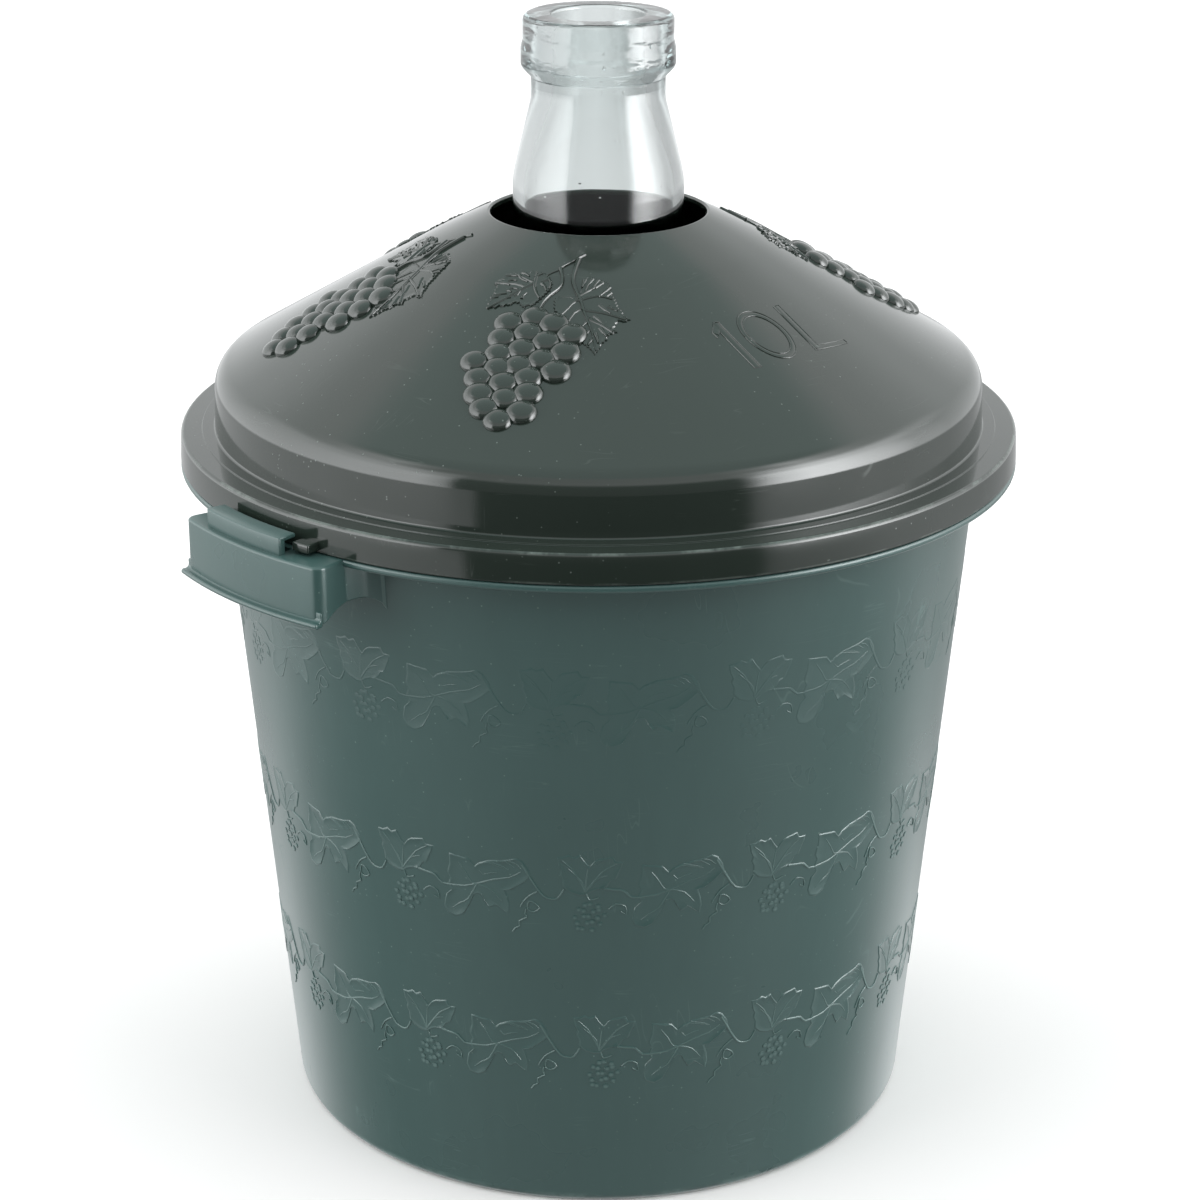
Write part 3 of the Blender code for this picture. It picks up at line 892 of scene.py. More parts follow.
@dataclass(frozen=True)
class Stroke:
    """Raised line, such as a stem, a tendril or a figure's stroke. Millimetres."""

    path: tuple[Point, ...]
    width: float
    end_width: float | None = None
    rise: float = 0.32
    closed: bool = False
    smooth: bool = True
    ridge: Ridge = Ridge.ROUND
    base: float = 0.0
    steps: int = 4
    spacing: float = 3.0
    sink: float = 0.3

    def lay(self, draft: Draft, face: MouldFace, angle: float) -> None:
        """Add the line to a draft.

        Args:
            draft: draft of the relief.
            face: face that it lies on.
            angle: angle about Z of the relief's middle line.
        """
        if self.smooth:
            path = curve_through(list(self.path), self.steps, self.closed)
        elif self.closed:
            path = filled([*self.path, self.path[0]], self.spacing)[:-1]
        else:
            path = filled(list(self.path), self.spacing)
        last = len(path) - 1
        rows = []
        for index, (across, along) in enumerate(path):
            before = path[index - 1] if index or self.closed else path[0]
            after = path[(index + 1) % len(path)] if index < last or self.closed else path[last]
            run = math.dist(before, after)
            side = ((before[1] - after[1]) / run, (after[0] - before[0]) / run)
            end = self.width if self.end_width is None else self.end_width
            half = (self.width + (end - self.width) * index / last) / 2
            row = []
            for offset, high in self.ridge.value:
                rise = self.base + high * (self.rise - self.base) if high > 0 else -self.sink
                out = half * offset
                row.append(face.place(across + side[0] * out, along + side[1] * out, rise, angle))
            rows.append(draft.row(row))
        draft.skins(rows)
        if self.closed:
            draft.skin(rows[-1], rows[0])
        else:
            draft.cap(rows[0])
            draft.cap(rows[-1])


@dataclass(frozen=True)
class Cluster:
    """Round fruit in relief, each at its own place on a face. Millimetres."""

    places: tuple[Point, ...]
    across: float
    along: float
    rise: float
    sink: float = 0.5
    segments: int = 8
    rings: int = 5
    girths: tuple[float, ...] = (1.0, 0.96, 1.03, 0.98)
    girth_step: int = 3

    def grown(self, grower: Grower, name: str, face: MouldFace, angle: float) -> bpy.types.Mesh:
        """Mesh of the fruit.

        Args:
            grower: the stud tree.
            name: name for the mesh.
            face: face that they lie on.
            angle: angle about Z of the relief's middle line.

        Returns:
            Closed studs, sunk a little way into the face.
        """
        points = bpy.data.meshes.new(name)
        points.from_pydata([face.place(across, along, 0, angle) for across, along in self.places], [], [])
        facings = [part for across, along in self.places for part in face.facing(across, along, angle)]
        points.attributes.new("facing", "FLOAT_VECTOR", "POINT").data.foreach_set("vector", facings)
        girths = [
            self.girths[index * self.girth_step % len(self.girths)] for index in range(len(self.places))
        ]
        points.attributes.new("girth", "FLOAT", "POINT").data.foreach_set("value", girths)
        lengths = {"Across": self.across, "Along": self.along, "Rise": self.rise, "Sink": self.sink}
        values = {label: length * MM for label, length in lengths.items()}
        return grower.grow(name, points, {**values, "Segments": self.segments, "Rings": self.rings})


# Finishes


class Along(Enum):
    """What a pale ring is measured by."""

    RADIUS = "radius"
    HEIGHT = "height"


@dataclass(frozen=True)
class WearAndSheenRing:
    """Ring round a moulding that is painted pale, as a place, a half width and a strength: scuffing, and on
    the lid's rim a painted highlight as well.
    """

    along: Along
    place: float
    half_width: float
    strength: float
    lowest: float = -1.0


@dataclass(frozen=True)
class ReliefWearAndSheen:
    """Pale paint on what stands a little proud of a coned wall, which has a radius on the ground and a lean:
    partly scuffing of raised edges, partly a painted highlight along them.
    """

    foot_radius: float
    lean: float
    low: float = 0.00015
    high: float = 0.00026
    most: float = 0.0012
    core: float = 0.9
    strength: float = 0.42

    def amount(self, radius: Signal, height: Signal) -> Signal:
        """Pale paint of a place, partly scuffing and partly painted highlight, from 0 to the strength.

        Args:
            radius: distance of the place from the axis.
            height: height of the place.

        Returns:
            The wear.
        """
        proud = radius - (self.foot_radius + height * self.lean)
        not_far = proud.between(self.most, self.most * self.core)
        return proud.between(self.low, self.high) * not_far * self.strength


@dataclass(frozen=True)
class Finish:
    """A finish, which dresses the shader of a new material on Object coordinates."""

    name: str

    def material(self) -> bpy.types.Material:
        """Make the material.

        Returns:
            The material.
        """
        material = bpy.data.materials.new(self.name)
        material.use_nodes = True
        wiring = Wiring(material.node_tree)
        place = wiring.node("ShaderNodeTexCoord", output="Object")
        self.dress(wiring, place, material.node_tree.nodes["Principled BSDF"])
        return material

    def dress(self, wiring: Wiring, place: Signal, shader: bpy.types.Node) -> None:
        """Feed the shader.

        Args:
            wiring: the material's tree.
            place: Object coordinates.
            shader: the Principled shader.
        """
        raise NotImplementedError


@dataclass(frozen=True)
class MouldedPlastic(Finish):
    """Moulded plastic with flow marks, hairline scratches, dust flecks, and pale rings and raised edges that
    are partly scuffing and partly a painted highlight.
    """

    colour: Colour
    # Pale tint of dust, scratches, scuffs and painted highlights.
    rubbed_and_sheen: Colour
    roughness: float
    haze: float
    mottle: float
    dust: float
    scratches: float
    grain: float
    rings: tuple[WearAndSheenRing, ...] = ()
    # Pale paint on raised relief edges: partly scuffing, partly a painted highlight along them.
    relief: ReliefWearAndSheen | None = None
    deep: float = 0.55
    light: float = 1.45
    cloud_scale: float = 14.0
    flow_scale: float = 22.0
    flow_lean: float = 2.0
    flow_share: float = 0.6
    grain_scale: float = 900.0
    wave_scale: float = 38.0
    wave: float = 6.0
    worn_gloss: float = 0.3
    worn_and_sheen_cloud: float = 1.2
    dust_gloss: float = 0.4
    dust_lift: float = 1.5
    scratch_tint: float = 0.4
    scratch_gloss: float = 0.25
    scratch_depth: float = 0.8
    least_roughness: float = 0.04
    bump_unit: float = 0.00001
    fleck_kinds: tuple[Triple, ...] = ((400.0, 0.15, 0.70), (170.0, 0.065, 0.80))
    fleck_core: float = 0.5
    fleck_step: float = 0.02
    settled_scale: float = 13.0
    settled: Point = (0.42, 0.58)
    hair_kinds: tuple[tuple[Triple, Triple], ...] = (
        ((0.4, 0.2, 0.7), (30.0, 310.0, 30.0)),
        ((1.1, 0.8, 2.2), (24.0, 24.0, 350.0)),
    )
    hair_width: Point = (0.012, 0.002)
    hair_patch_scale: float = 43.0
    hair_patch: Point = (0.60, 0.68)
    pale_ring_scale: float = 60.0
    pale_ring_patch: Point = (0.44, 0.62)
    ring_fade: float = 0.0005
    ring_core: float = 0.3

    def dress(self, wiring: Wiring, place: Signal, shader: bpy.types.Node) -> None:
        """Feed the shader, as Finish.dress."""
        x, y, height = wiring.parts(place)
        radius = (x * x + y * y) ** 0.5
        cloud = wiring.noise(place, self.cloud_scale, detail=4.0, roughness=0.6)
        round_about = wiring.vector(x / radius, y / radius, height * self.flow_lean)
        flow = wiring.noise(round_about, self.flow_scale, detail=3.0)
        flecks = self.flecks(wiring, place)
        hairs = self.hairlines(wiring, place)
        worn_and_sheen = self.pale_rings(wiring, place, radius, height)
        # Raised relief edges are painted pale: partly scuffing, partly a painted highlight along them.
        if self.relief:
            worn_and_sheen = wiring.largest(worn_and_sheen, self.relief.amount(radius, height) * (cloud * self.worn_and_sheen_cloud))
        tone = 1.0 + (cloud - 0.5) * self.mottle + (flow - 0.5) * (self.mottle * self.flow_share)
        deep, light = (tuple(part * share for part in self.colour) for share in (self.deep, self.light))
        base = wiring.blend((tone - self.deep) / (self.light - self.deep), deep, light)
        marks = wiring.largest(flecks * self.dust, hairs * (self.scratches * self.scratch_tint))
        # Dust, scratches, scuffed rings and painted highlights all pale the colour towards one tint.
        base = wiring.blend(wiring.largest(marks, worn_and_sheen), base, self.rubbed_and_sheen)
        gloss = self.roughness + (cloud - 0.5) * self.haze + worn_and_sheen * self.worn_gloss
        gloss = gloss + flecks * (self.dust * self.dust_gloss) + hairs * (self.scratches * self.scratch_gloss)
        fine = wiring.noise(place, self.grain_scale)
        wave = wiring.noise(place, self.wave_scale, detail=1.0)
        lift = fine * self.grain + wave * self.wave
        lift = lift + flecks * (self.dust * self.dust_lift) - hairs * (self.scratches * self.scratch_depth)
        wiring.feed(shader.inputs["Base Color"], base)
        wiring.feed(shader.inputs["Roughness"], wiring.maths("MAXIMUM", gloss, self.least_roughness))
        wiring.feed(shader.inputs["Normal"], wiring.bump(lift, self.bump_unit))

    def flecks(self, wiring: Wiring, place: Signal) -> Signal:
        """Scatter small specks.

        Args:
            wiring: the material's tree.
            place: Object coordinates.

        Returns:
            1 inside a speck and 0 outside.
        """
        spots = []
        settled = wiring.noise(place, self.settled_scale).between(*self.settled)
        for scale, size, rarity in self.fleck_kinds:
            cells, chance = wiring.cells(place, scale)
            chosen = chance.between(rarity, rarity + self.fleck_step)
            spots.append(cells.between(size, size * self.fleck_core) * chosen)
        return wiring.largest(*spots) * settled

    def hairlines(self, wiring: Wiring, place: Signal) -> Signal:
        """Scratch in patches.

        Args:
            wiring: the material's tree.
            place: Object coordinates.

        Returns:
            1 on a hairline scratch and 0 off it.
        """
        scratches = []
        for turn, scale in self.hair_kinds:
            lines = wiring.noise(wiring.stretched(place, scale, turn), scale=1.0, detail=1.0)
            line = abs(lines - 0.5).between(*self.hair_width)
            patches = wiring.noise(wiring.stretched(place, (self.hair_patch_scale,) * 3, turn), scale=1.0)
            scratches.append(line * patches.between(*self.hair_patch))
        return wiring.largest(*scratches)

    def pale_rings(self, wiring: Wiring, place: Signal, radius: Signal, height: Signal) -> Signal:
        """Paint the rings pale: scuffing, and on the lid's rim a painted highlight as well.

        Args:
            wiring: the material's tree.
            place: Object coordinates.
            radius: distance of the place from the axis.
            height: height of the place.

        Returns:
            Paleness of scuffing and painted highlight, broken up by noise.
        """
        patchy = wiring.noise(place, self.pale_ring_scale, detail=4.0, roughness=0.7).between(*self.pale_ring_patch)
        rings = []
        for ring in self.rings:
            measure = radius if ring.along is Along.RADIUS else height
            near = abs(measure - ring.place).between(ring.half_width, ring.half_width * self.ring_core)
            near = near * height.between(ring.lowest - self.ring_fade, ring.lowest)
            rings.append(near * patchy * ring.strength)
        return wiring.largest(*rings)


@dataclass(frozen=True)
class BottleGlass(Finish):
    """Pale aqua glass that darkens with its depth, wavy in the collar and crinkled at the seam under it."""

    name: str = "pale_bottle_glass"
    colour: Colour = (0.965, 0.985, 0.98)
    film: float = 0.97
    film_roughness: float = 0.04
    index: float = 1.5
    depth_colour: Colour = (0.30, 0.52, 0.52)
    depth_density: float = 14.0
    collar_foot: float = 0.3745
    seam: float = 0.3300
    fade: float = 0.0015
    film_grain: Triple = (60.0, 0.35, 3.0)
    film_patch: Point = (0.62, 0.9)
    wave_grain: Triple = (85.0, 0.5, 2.0)
    ripple_grain: Triple = (95.0, 2.5, 2.0)
    ripple: float = 5.0
    crinkle_scale: float = 420.0
    bubble_scale: float = 240.0
    bubble_size: Point = (0.15, 0.05)
    bubble_chance: Point = (0.84, 0.86)
    bubble: float = 1.5
    bump_unit: float = 0.00006

    def dress(self, wiring: Wiring, place: Signal, shader: bpy.types.Node) -> None:
        """Feed the shader, and the volume with a constant absorption, as Finish.dress."""
        film, waves, ripples = (
            wiring.noise(wiring.stretched(place, (1, 1, upright)), scale, detail)
            for scale, upright, detail in (self.film_grain, self.wave_grain, self.ripple_grain)
        )
        _, _, height = wiring.parts(place)
        collar = height.between(self.collar_foot - self.fade, self.collar_foot + self.fade)
        seam = height.between(self.seam + self.fade, self.seam - self.fade)
        crinkles = wiring.noise(place, self.crinkle_scale)
        cells, chance = wiring.cells(place, self.bubble_scale)
        bubbles = cells.between(*self.bubble_size) * chance.between(*self.bubble_chance)
        lift = waves + collar * ripples * self.ripple + seam * crinkles
        lift = lift + bubbles * (collar * self.ripple + self.bubble)
        shader.inputs["Transmission Weight"].default_value = 1.0
        shader.inputs["IOR"].default_value = self.index
        clouded = tuple(part * self.film for part in self.colour)
        wiring.feed(shader.inputs["Base Color"], wiring.blend(film, self.colour, clouded))
        wiring.feed(shader.inputs["Roughness"], film.between(*self.film_patch) * self.film_roughness)
        wiring.feed(shader.inputs["Normal"], wiring.bump(lift, self.bump_unit))
        inputs = {"Color": self.depth_colour, "Density": self.depth_density}
        inside = wiring.node("ShaderNodeVolumeAbsorption", inputs=inputs)
        wiring.feed(wiring.tree.nodes["Material Output"].inputs["Volume"], inside)


@dataclass(frozen=True)
class FloorPaper(Finish):
    """Plain pale paper with the faintest cloud."""

    name: str = "pale_floor_paper"
    colour: Colour = (0.95, 0.90, 0.89)
    cloud: float = 0.985
    cloud_scale: float = 3.0
    roughness: float = 0.9
    specular: float = 0.1

    def dress(self, wiring: Wiring, place: Signal, shader: bpy.types.Node) -> None:
        """Feed the shader, as Finish.dress."""
        cloud = wiring.noise(place, self.cloud_scale, detail=3.0)
        clouded = tuple(part * self.cloud for part in self.colour)
        wiring.feed(shader.inputs["Base Color"], wiring.blend(cloud, self.colour, clouded))
        shader.inputs["Roughness"].default_value = self.roughness
        shader.inputs["Specular IOR Level"].default_value = self.specular


# The basket


@dataclass
class Growers:
    """The geometry trees that the sub-assemblies share."""

    turning: Grower = field(default_factory=turning_tree)
    ring: Grower = field(default_factory=ring_tree)
    studs: Grower = field(default_factory=stud_tree)


@dataclass
class Pail:
    """Tapered pail of the basket: foot ring, flange and the collar that stands up inside the lid."""

    height: float = 0.2441
    top_radius: float = 0.1351
    foot_radius: float = 0.1142
    wall: float = 0.0026
    foot_corner: float = 0.0050
    foot_ring_width: float = 0.0075
    foot_recess: float = 0.0035
    floor: float = 0.0028
    floor_corner: float = 0.0040
    flange_reach: float = 0.0134
    flange: float = 0.0025
    flange_round: float = 0.0010
    under_flange_round: float = 0.0020
    recess_round: float = 0.0008
    small_round: float = 0.0006
    collar: float = 0.0082
    rib_count: int = 8
    rib_width: float = 0.0020
    rib_inner_radius: float = 0.0220
    rib_ground_gap: float = 0.0008
    rib_soft: float = 0.0003
    sides: int = 168

    @property
    def flange_radius(self) -> float:
        """Outer radius of the flange."""
        return self.top_radius + self.flange_reach

    def radius(self, height: float) -> float:
        """Outer radius of the wall at a height."""
        return self.foot_radius + (self.top_radius - self.foot_radius) * height / self.height

    def outline(self) -> list[Point]:
        """Section of the pail.

        Returns:
            Points from the axis, under the floor and back inside.
        """
        under = self.height - self.flange
        inside = self.foot_radius - self.foot_ring_width
        floor_top = self.foot_recess + self.floor
        rim = self.flange_radius - SKIN
        collar_top = self.height + self.collar
        return rounded([
            (0, self.foot_recess, 0),
            (inside, self.foot_recess, self.recess_round),
            (inside, 0, self.small_round),
            (self.foot_radius, 0, self.foot_corner),
            (self.radius(under), under, self.under_flange_round),
            (rim, under, self.flange_round),
            (rim, self.height, self.flange_round),
            (self.top_radius, self.height, self.small_round),
            (self.top_radius, collar_top, self.flange_round),
            (self.top_radius - self.wall, collar_top, self.flange_round),
            (self.top_radius - self.wall, self.height, 0),
            (self.radius(floor_top) - self.wall, floor_top, self.floor_corner),
            (0, floor_top, 0),
        ])

    def rib(self) -> bpy.types.Mesh:
        """Rib under the floor.

        Returns:
            The rib along +X.
        """
        outer = self.foot_radius - self.foot_ring_width + self.rib_width / 2
        half = self.rib_width / 2
        outline = rectangle(self.rib_inner_radius, outer, -half, half)
        middle = self.foot_recess + self.floor / 2
        return worked("rib", extruded(outline, self.rib_ground_gap, middle), bevel=self.rib_soft)


@dataclass
class LatchHandle:
    """Handle of the basket: top plate, face with a beaded lip, two webs, hook strip and mould slot."""

    pail: Pail
    reach: float = 0.0249
    depth: float = 0.0199
    wall: float = 0.0024
    half_angle: float = math.radians(12.5)
    corner: float = 0.0026
    root_angle: float = math.radians(15.4)
    web_bend: float = 0.0070
    web_plan: tuple[Point, ...] = pairs(0.76, 1.08, 0.45, 1.016)
    web_edge: tuple[Point, ...] = pairs(
        0, 1, 0.1, 0.935, 0.2, 0.85, 0.32, 0.785, 0.45, 0.75, 0.6, 0.745, 0.75, 0.77, 0.85, 0.82,
        0.92, 0.88, 0.97, 1, 1, 1.12,
    )
    lip_reach: float = 0.0024
    lip_height: float = 0.0050
    lip_bead: float = 0.0019
    lip_bury: float = 0.0004
    lip_overlap: float = math.radians(0.4)
    lip_bead_round: float = lip_bead / 2.1
    lip_soft: float = 0.0003
    lip_steps: int = 24
    top_round: float = 0.0014
    low_round: float = 0.0006
    inner_round: float = 0.0006
    support: float = 0.0004
    hook_inset: float = 0.0021
    hook_width: float = 0.0073
    hook_wall: float = 0.0026
    hook_height: float = 0.0060
    hook_lip: float = 0.0015
    hook_corner: float = 0.0040
    hook_closed: float = math.radians(-8.6)
    hook_open: float = math.radians(6.2)
    hook_stop: float = math.radians(1.6)
    slot_end: float = math.radians(0.7)
    hook_soft: float = 0.0004
    plate_lift: float = 0.00004
    spacing: float = 0.0024
    front_share: float = 0.86
    front_steps: int = 16
    steps: int = 12
    overrun: float = 0.0010

    @property
    def face(self) -> float:
        """Radius of the handle's face."""
        return self.pail.top_radius + self.reach

    @property
    def hook_outer(self) -> float:
        """Outer radius of the hook strip."""
        return self.face - self.hook_inset

    @property
    def hook_inner(self) -> float:
        """Inner radius of the hook strip."""
        return self.hook_outer - self.hook_width

    def plan(self) -> list[Point]:
        """Plan of the handle's wall.

        Returns:
            Its middle line, from web root to web root.
        """
        face = self.face - self.wall / 2
        root = self.pail.top_radius - self.pail.wall / 2
        corners = [(*polar(root, self.root_angle), 0)]
        for reach_share, angle_share in self.web_plan:
            radius = face + (root - face) * reach_share
            corners.append((*polar(radius, self.half_angle * angle_share), self.web_bend))
        corners.append((*polar(face, self.half_angle), self.corner))
        flat = self.half_angle * self.front_share
        front = [(x, y, 0) for x, y in arc(face, flat, -flat, self.front_steps)]
        other = [(x, -y, radius) for x, y, radius in reversed(corners)]
        return filled(rounded(corners + front + other), self.spacing)

    def section(self, share: float) -> list[Point]:
        """Section of the wall.

        Args:
            share: share of the way from the face to the pail.

        Returns:
            Points as offset outwards and height.
        """
        top = self.pail.height + self.plate_lift
        low = top - self.depth * value_on(list(self.web_edge), share)
        ceiling = self.pail.height - self.pail.flange - self.plate_lift
        half = self.wall / 2
        return rounded([
            (half - self.top_round - self.support, top, 0),
            (half, top, self.top_round),
            (half, low, self.low_round),
            (-half, low, self.low_round),
            (-half, ceiling, self.inner_round),
            (-half - self.inner_round - self.support, ceiling, 0),
        ])

    def shell(self) -> Draft:
        """Make the handle's shell.

        Returns:
            Top plate, face and webs, open below for the fingers.
        """
        path = self.plan()
        face = self.face - self.wall / 2
        root = self.pail.top_radius - self.pail.wall / 2
        draft = Draft()
        rails = []
        last = len(path) - 1
        for index, (x, y) in enumerate(path):
            before, after = path[max(index - 1, 0)], path[min(index + 1, last)]
            run = math.dist(before, after)
            out = ((before[1] - after[1]) / run, (after[0] - before[0]) / run)
            share = (face - math.hypot(x, y)) / (face - root)
            angle = math.atan2(y, x)
            rail = []
            for offset, height in self.section(share):
                low_root = self.pail.radius(min(height, self.pail.height)) - self.pail.wall / 2
                middle = polar(face + (low_root - face) * share, angle)
                rail.append((middle[0] + out[0] * offset, middle[1] + out[1] * offset, height))
            rails.append(draft.row(rail))
        draft.skins(rails, closed=False)
        draft.cap(rails[0])
        draft.cap(rails[-1])
        back = arc(root, -self.root_angle, self.root_angle, self.steps)[1:-1]
        top, ceiling = rails[0][0].co.z, rails[0][-1].co.z
        upper = [rails[-1][0], *draft.row((x, y, top) for x, y in back), rails[0][0]]
        lower = [rails[-1][-1], *draft.row((x, y, ceiling) for x, y in back), rails[0][-1]]
        draft.cap([rail[0] for rail in rails] + upper[1:-1])
        draft.cap([rail[-1] for rail in rails] + lower[1:-1])
        draft.skin(upper, lower, closed=False)
        return draft

    def slot(self) -> Draft:
        """Cutter for the slot under the hook.

        Returns:
            The slot that the mould leaves in the plate.
        """
        inner, outer = self.hook_inner, self.hook_outer - self.hook_wall
        bottom = self.pail.height - self.pail.flange - self.overrun
        top = self.pail.height + self.overrun
        start = self.hook_closed + self.hook_stop
        return swept(rectangle(inner, outer, bottom, top), start, self.hook_open - self.slot_end, self.steps)

    def strip(self) -> bpy.types.Mesh:
        """Make the hook strip.

        Returns:
            The strip, closed at one end, with its edges softened.
        """
        inner, outer = self.hook_inner, self.hook_outer
        bottom = self.pail.height - self.pail.flange / 2
        top = self.pail.height + self.hook_height
        outside = arc(outer, self.hook_closed, self.hook_open, self.steps)
        inside = arc(inner, self.hook_open, self.hook_closed, self.steps)
        corners = [(x, y, 0) for x, y in outside + inside]
        corners[0] = (*corners[0][:2], self.hook_corner)
        way = rectangle(
            inner - self.overrun, outer - self.hook_wall, bottom - self.overrun, top - self.hook_lip
        )
        channel = swept(way, self.hook_closed + self.hook_stop, self.hook_open + self.hook_stop, self.steps)
        return worked("hook_strip", extruded(rounded(corners), bottom, top), channel, self.hook_soft)

    def lip(self) -> Draft:
        """Make the lip.

        Returns:
            Beaded lip that flares from the foot of the face.
        """
        low = self.pail.height - self.depth
        root = self.face - self.wall / 2
        tip = self.face + self.lip_reach - SKIN
        outline = rounded([
            (root, low + self.lip_height, 0),
            (self.face - self.lip_bury, low + self.lip_height, 0),
            (self.face - self.lip_bury, low + self.lip_bead, self.lip_reach),
            (tip, low + self.lip_bead, self.lip_bead_round),
            (tip, low, self.lip_bead_round),
            (root, low, 0),
        ])
        end = self.half_angle + self.lip_overlap
        return swept(outline, -end, end, self.lip_steps)

    def mesh(self) -> bpy.types.Mesh:
        """Make the whole handle.

        Returns:
            The handle on +X.
        """
        whole = Draft()
        whole.add(worked("handle_shell", self.shell(), self.slot()))
        whole.add(worked("handle_lip", self.lip(), bevel=self.lip_soft))
        whole.add(self.strip())
        return whole.mesh("latch_handle")


class Garland(Enum):
    """Band of vine round the basket: height of its middle (millimetres), turn (degrees) and boldness."""

    UPPER = (198.0, -5.7, 0.3)
    MIDDLE = (129.0, -0.7, 0.75)
    LOWER = (66.0, 1.5, 0.85)


@dataclass
class VineMotif:
    """One repeat of the garland: two leaves, a twin leaf behind, stems, tendrils and a bunch of berries."""

    repeats: int = 12
    true_girth: float = 0.1252
    phase: float = math.radians(-43.4 - 90.0)
    shift: float = -35.5
    leaves: tuple[DrawnLeaf, ...] = (
        DrawnLeaf(
            middle=(-4.5, -2.0),
            edge=pairs(
                -14, 8, -11, 7.5, -7, 7, -5, 4.5, -3.5, 6, 0, 7.5, 3.5, 8, 6.5, 8.5, 9.5, 9.5, 11.5, 8.5,
                13.5, 5.5, 14, 3, 11.5, 0.5, 9.5, -1, 7.5, -2.5, 5, -3, 6, -6, 6.5, -9, 6, -12, 4, -10.5,
                2, -9, -0.5, -10.5, -2, -8, -3, -6, -4.5, -5.5, -6, -6.5, -7.5, -10, -10, -14.5, -13, -16,
                -16, -15, -17, -12.5, -16, -8, -14, -6, -15, -4, -14, -1.5, -15, 0.5, -14, 4,
            ),
            veins=(
                pairs(-4.5, -2, -6.5, -1.5, -8.5, 2, -11, 5.5), pairs(-4.5, -2, 1.5, 0.5, 7, 2, 11, 4.5),
                pairs(-4.5, -2, 0.5, -3.5, 4, -7.5), pairs(-4.5, -2, -8, -8.5, -11, -10.5, -14, -13),
                pairs(-4.5, -2, -9, -3.5, -14, -4),
            ),
            folds=(
                pairs(-3, 6, -0.5, 7, 3.5, 6, 6.5, 5), pairs(0, 7.5, 5, 6, 7, 5), pairs(3.5, 8, 6, 8, 9, 6),
                pairs(7, 8.5, 9.5, 7.5, 11, 6), pairs(-3.5, 3.5, -2, 2, 0.5, 3, 3, 3.5),
            ),
        ),
        DrawnLeaf(
            middle=(33.0, 1.0),
            edge=pairs(
                23.5, 11, 25.5, 11, 27.5, 12, 29, 11, 31, 12, 32.5, 9.5, 34, 7.5, 35.5, 9.5, 37, 10.5,
                39.5, 11, 41.5, 11.5, 42.5, 9.5, 45, 9.5, 44.5, 7.5, 43.5, 5.5, 43, 4, 42.5, 3, 41, 2.5,
                40, 1, 39, -0.5, 37, -0.5, 34.5, -1.5, 32.5, -3, 30.5, -3, 27.5, -2, 25.5, 0, 25.5, 2.5,
                24.5, 4.5, 25, 6, 24, 8,
            ),
            veins=(
                pairs(32.5, -2, 33, 3, 33.5, 7), pairs(32.5, -2, 31.5, 2, 29.5, 4.5, 27, 7),
                pairs(32.5, -2, 35, 1.5, 37, 3.5, 40, 4.5), pairs(32, 0, 28.5, 6.5, 25, 10),
                pairs(34, 0, 38.5, 6, 43, 9),
            ),
        ),
    )
    strokes: tuple[Stroke, ...] = (
        Stroke(pairs(11.5, 7.5, 14, 3, 16, -0.5, 18.5, -4, 21, -5, 23.5, -4.5, 25.5, -1), 1.1, 0.7),
        Stroke(pairs(39, -0.5, 42.5, -1, 45.5, -1.5, 48, -4, 52.5, -4, 57.5, -3.5), 1.1, 0.9),
        Stroke(pairs(16.5, -2.5, 13.5, -4.5, 11.5, -7, 10.5, -9), 0.7, 0.5),
        Stroke(pairs(13.5, -6.5, 15.5, -7, 17, -9, 15, -10.5, 13, -9.5), 0.6, closed=True),
        Stroke(pairs(12.5, -9.5, 12, -11.5, 12.5, -13, 10, -14.5, 10, -16.5, 8.5, -17.5, 7.5, -19), 0.6),
        Stroke(pairs(40.5, -8.5, 43, -6.5, 46, -7.5, 46.5, -10.5, 44.5, -9.5), 0.6, 0.5),
        Stroke(pairs(33, -2.5, 34, -5, 37, -4), 0.6, 0.5),
    )
    berry_rows: tuple[tuple[float, float, int], ...] = (
        (32.0, -7.0, 3), (30.0, -9.2, 4), (29.2, -11.5, 5), (30.3, -13.9, 4), (29.6, -16.4, 3),
    )
    stroke_steps: int = 2
    berry_step: float = 2.45
    berry_half: Point = (1.3, 1.2)
    berry_rise: float = 0.34
    berry_stray: float = 0.5
    berry_turn: float = 2.4
    berry_sink: float = 0.2
    berry_segments: int = 7
    berry_rings: int = 3

    def berries(self, boldness: float) -> Cluster:
        """Bunch of berries, row by row, each a little off its place.

        Args:
            boldness: share of their rise that they keep.

        Returns:
            The bunch.
        """
        places = []
        for start, along, count in self.berry_rows:
            for column in range(count):
                stray = polar(self.berry_stray, self.berry_turn * len(places))
                places.append((start + self.berry_step * column + stray[0], along + stray[1]))
        sizes = (*self.berry_half, self.berry_rise * boldness, self.berry_sink)
        return Cluster(tuple(places), *sizes, self.berry_segments, self.berry_rings)

    def relief(self, studs: Grower, pail: Pail, band: Garland) -> bpy.types.Mesh:
        """One motif.

        Args:
            studs: the stud tree.
            pail: the pail, on whose wall it lies.
            band: the band that it is in.

        Returns:
            Its mesh.
        """
        top = pail.height - pail.flange
        wall = [(pail.radius(0), 0), (pail.radius(top), top)]
        height, _, boldness = band.value
        face = MouldFace(wall, self.true_girth, (self.shift, height), boldness)
        draft = Draft()
        strokes = [replace(stroke, steps=self.stroke_steps) for stroke in self.strokes]
        for item in (*self.leaves, *strokes):
            item.lay(draft, face, 0)
        draft.add(self.berries(boldness).grown(studs, "berries", face, 0))
        return draft.mesh("vine_motif")

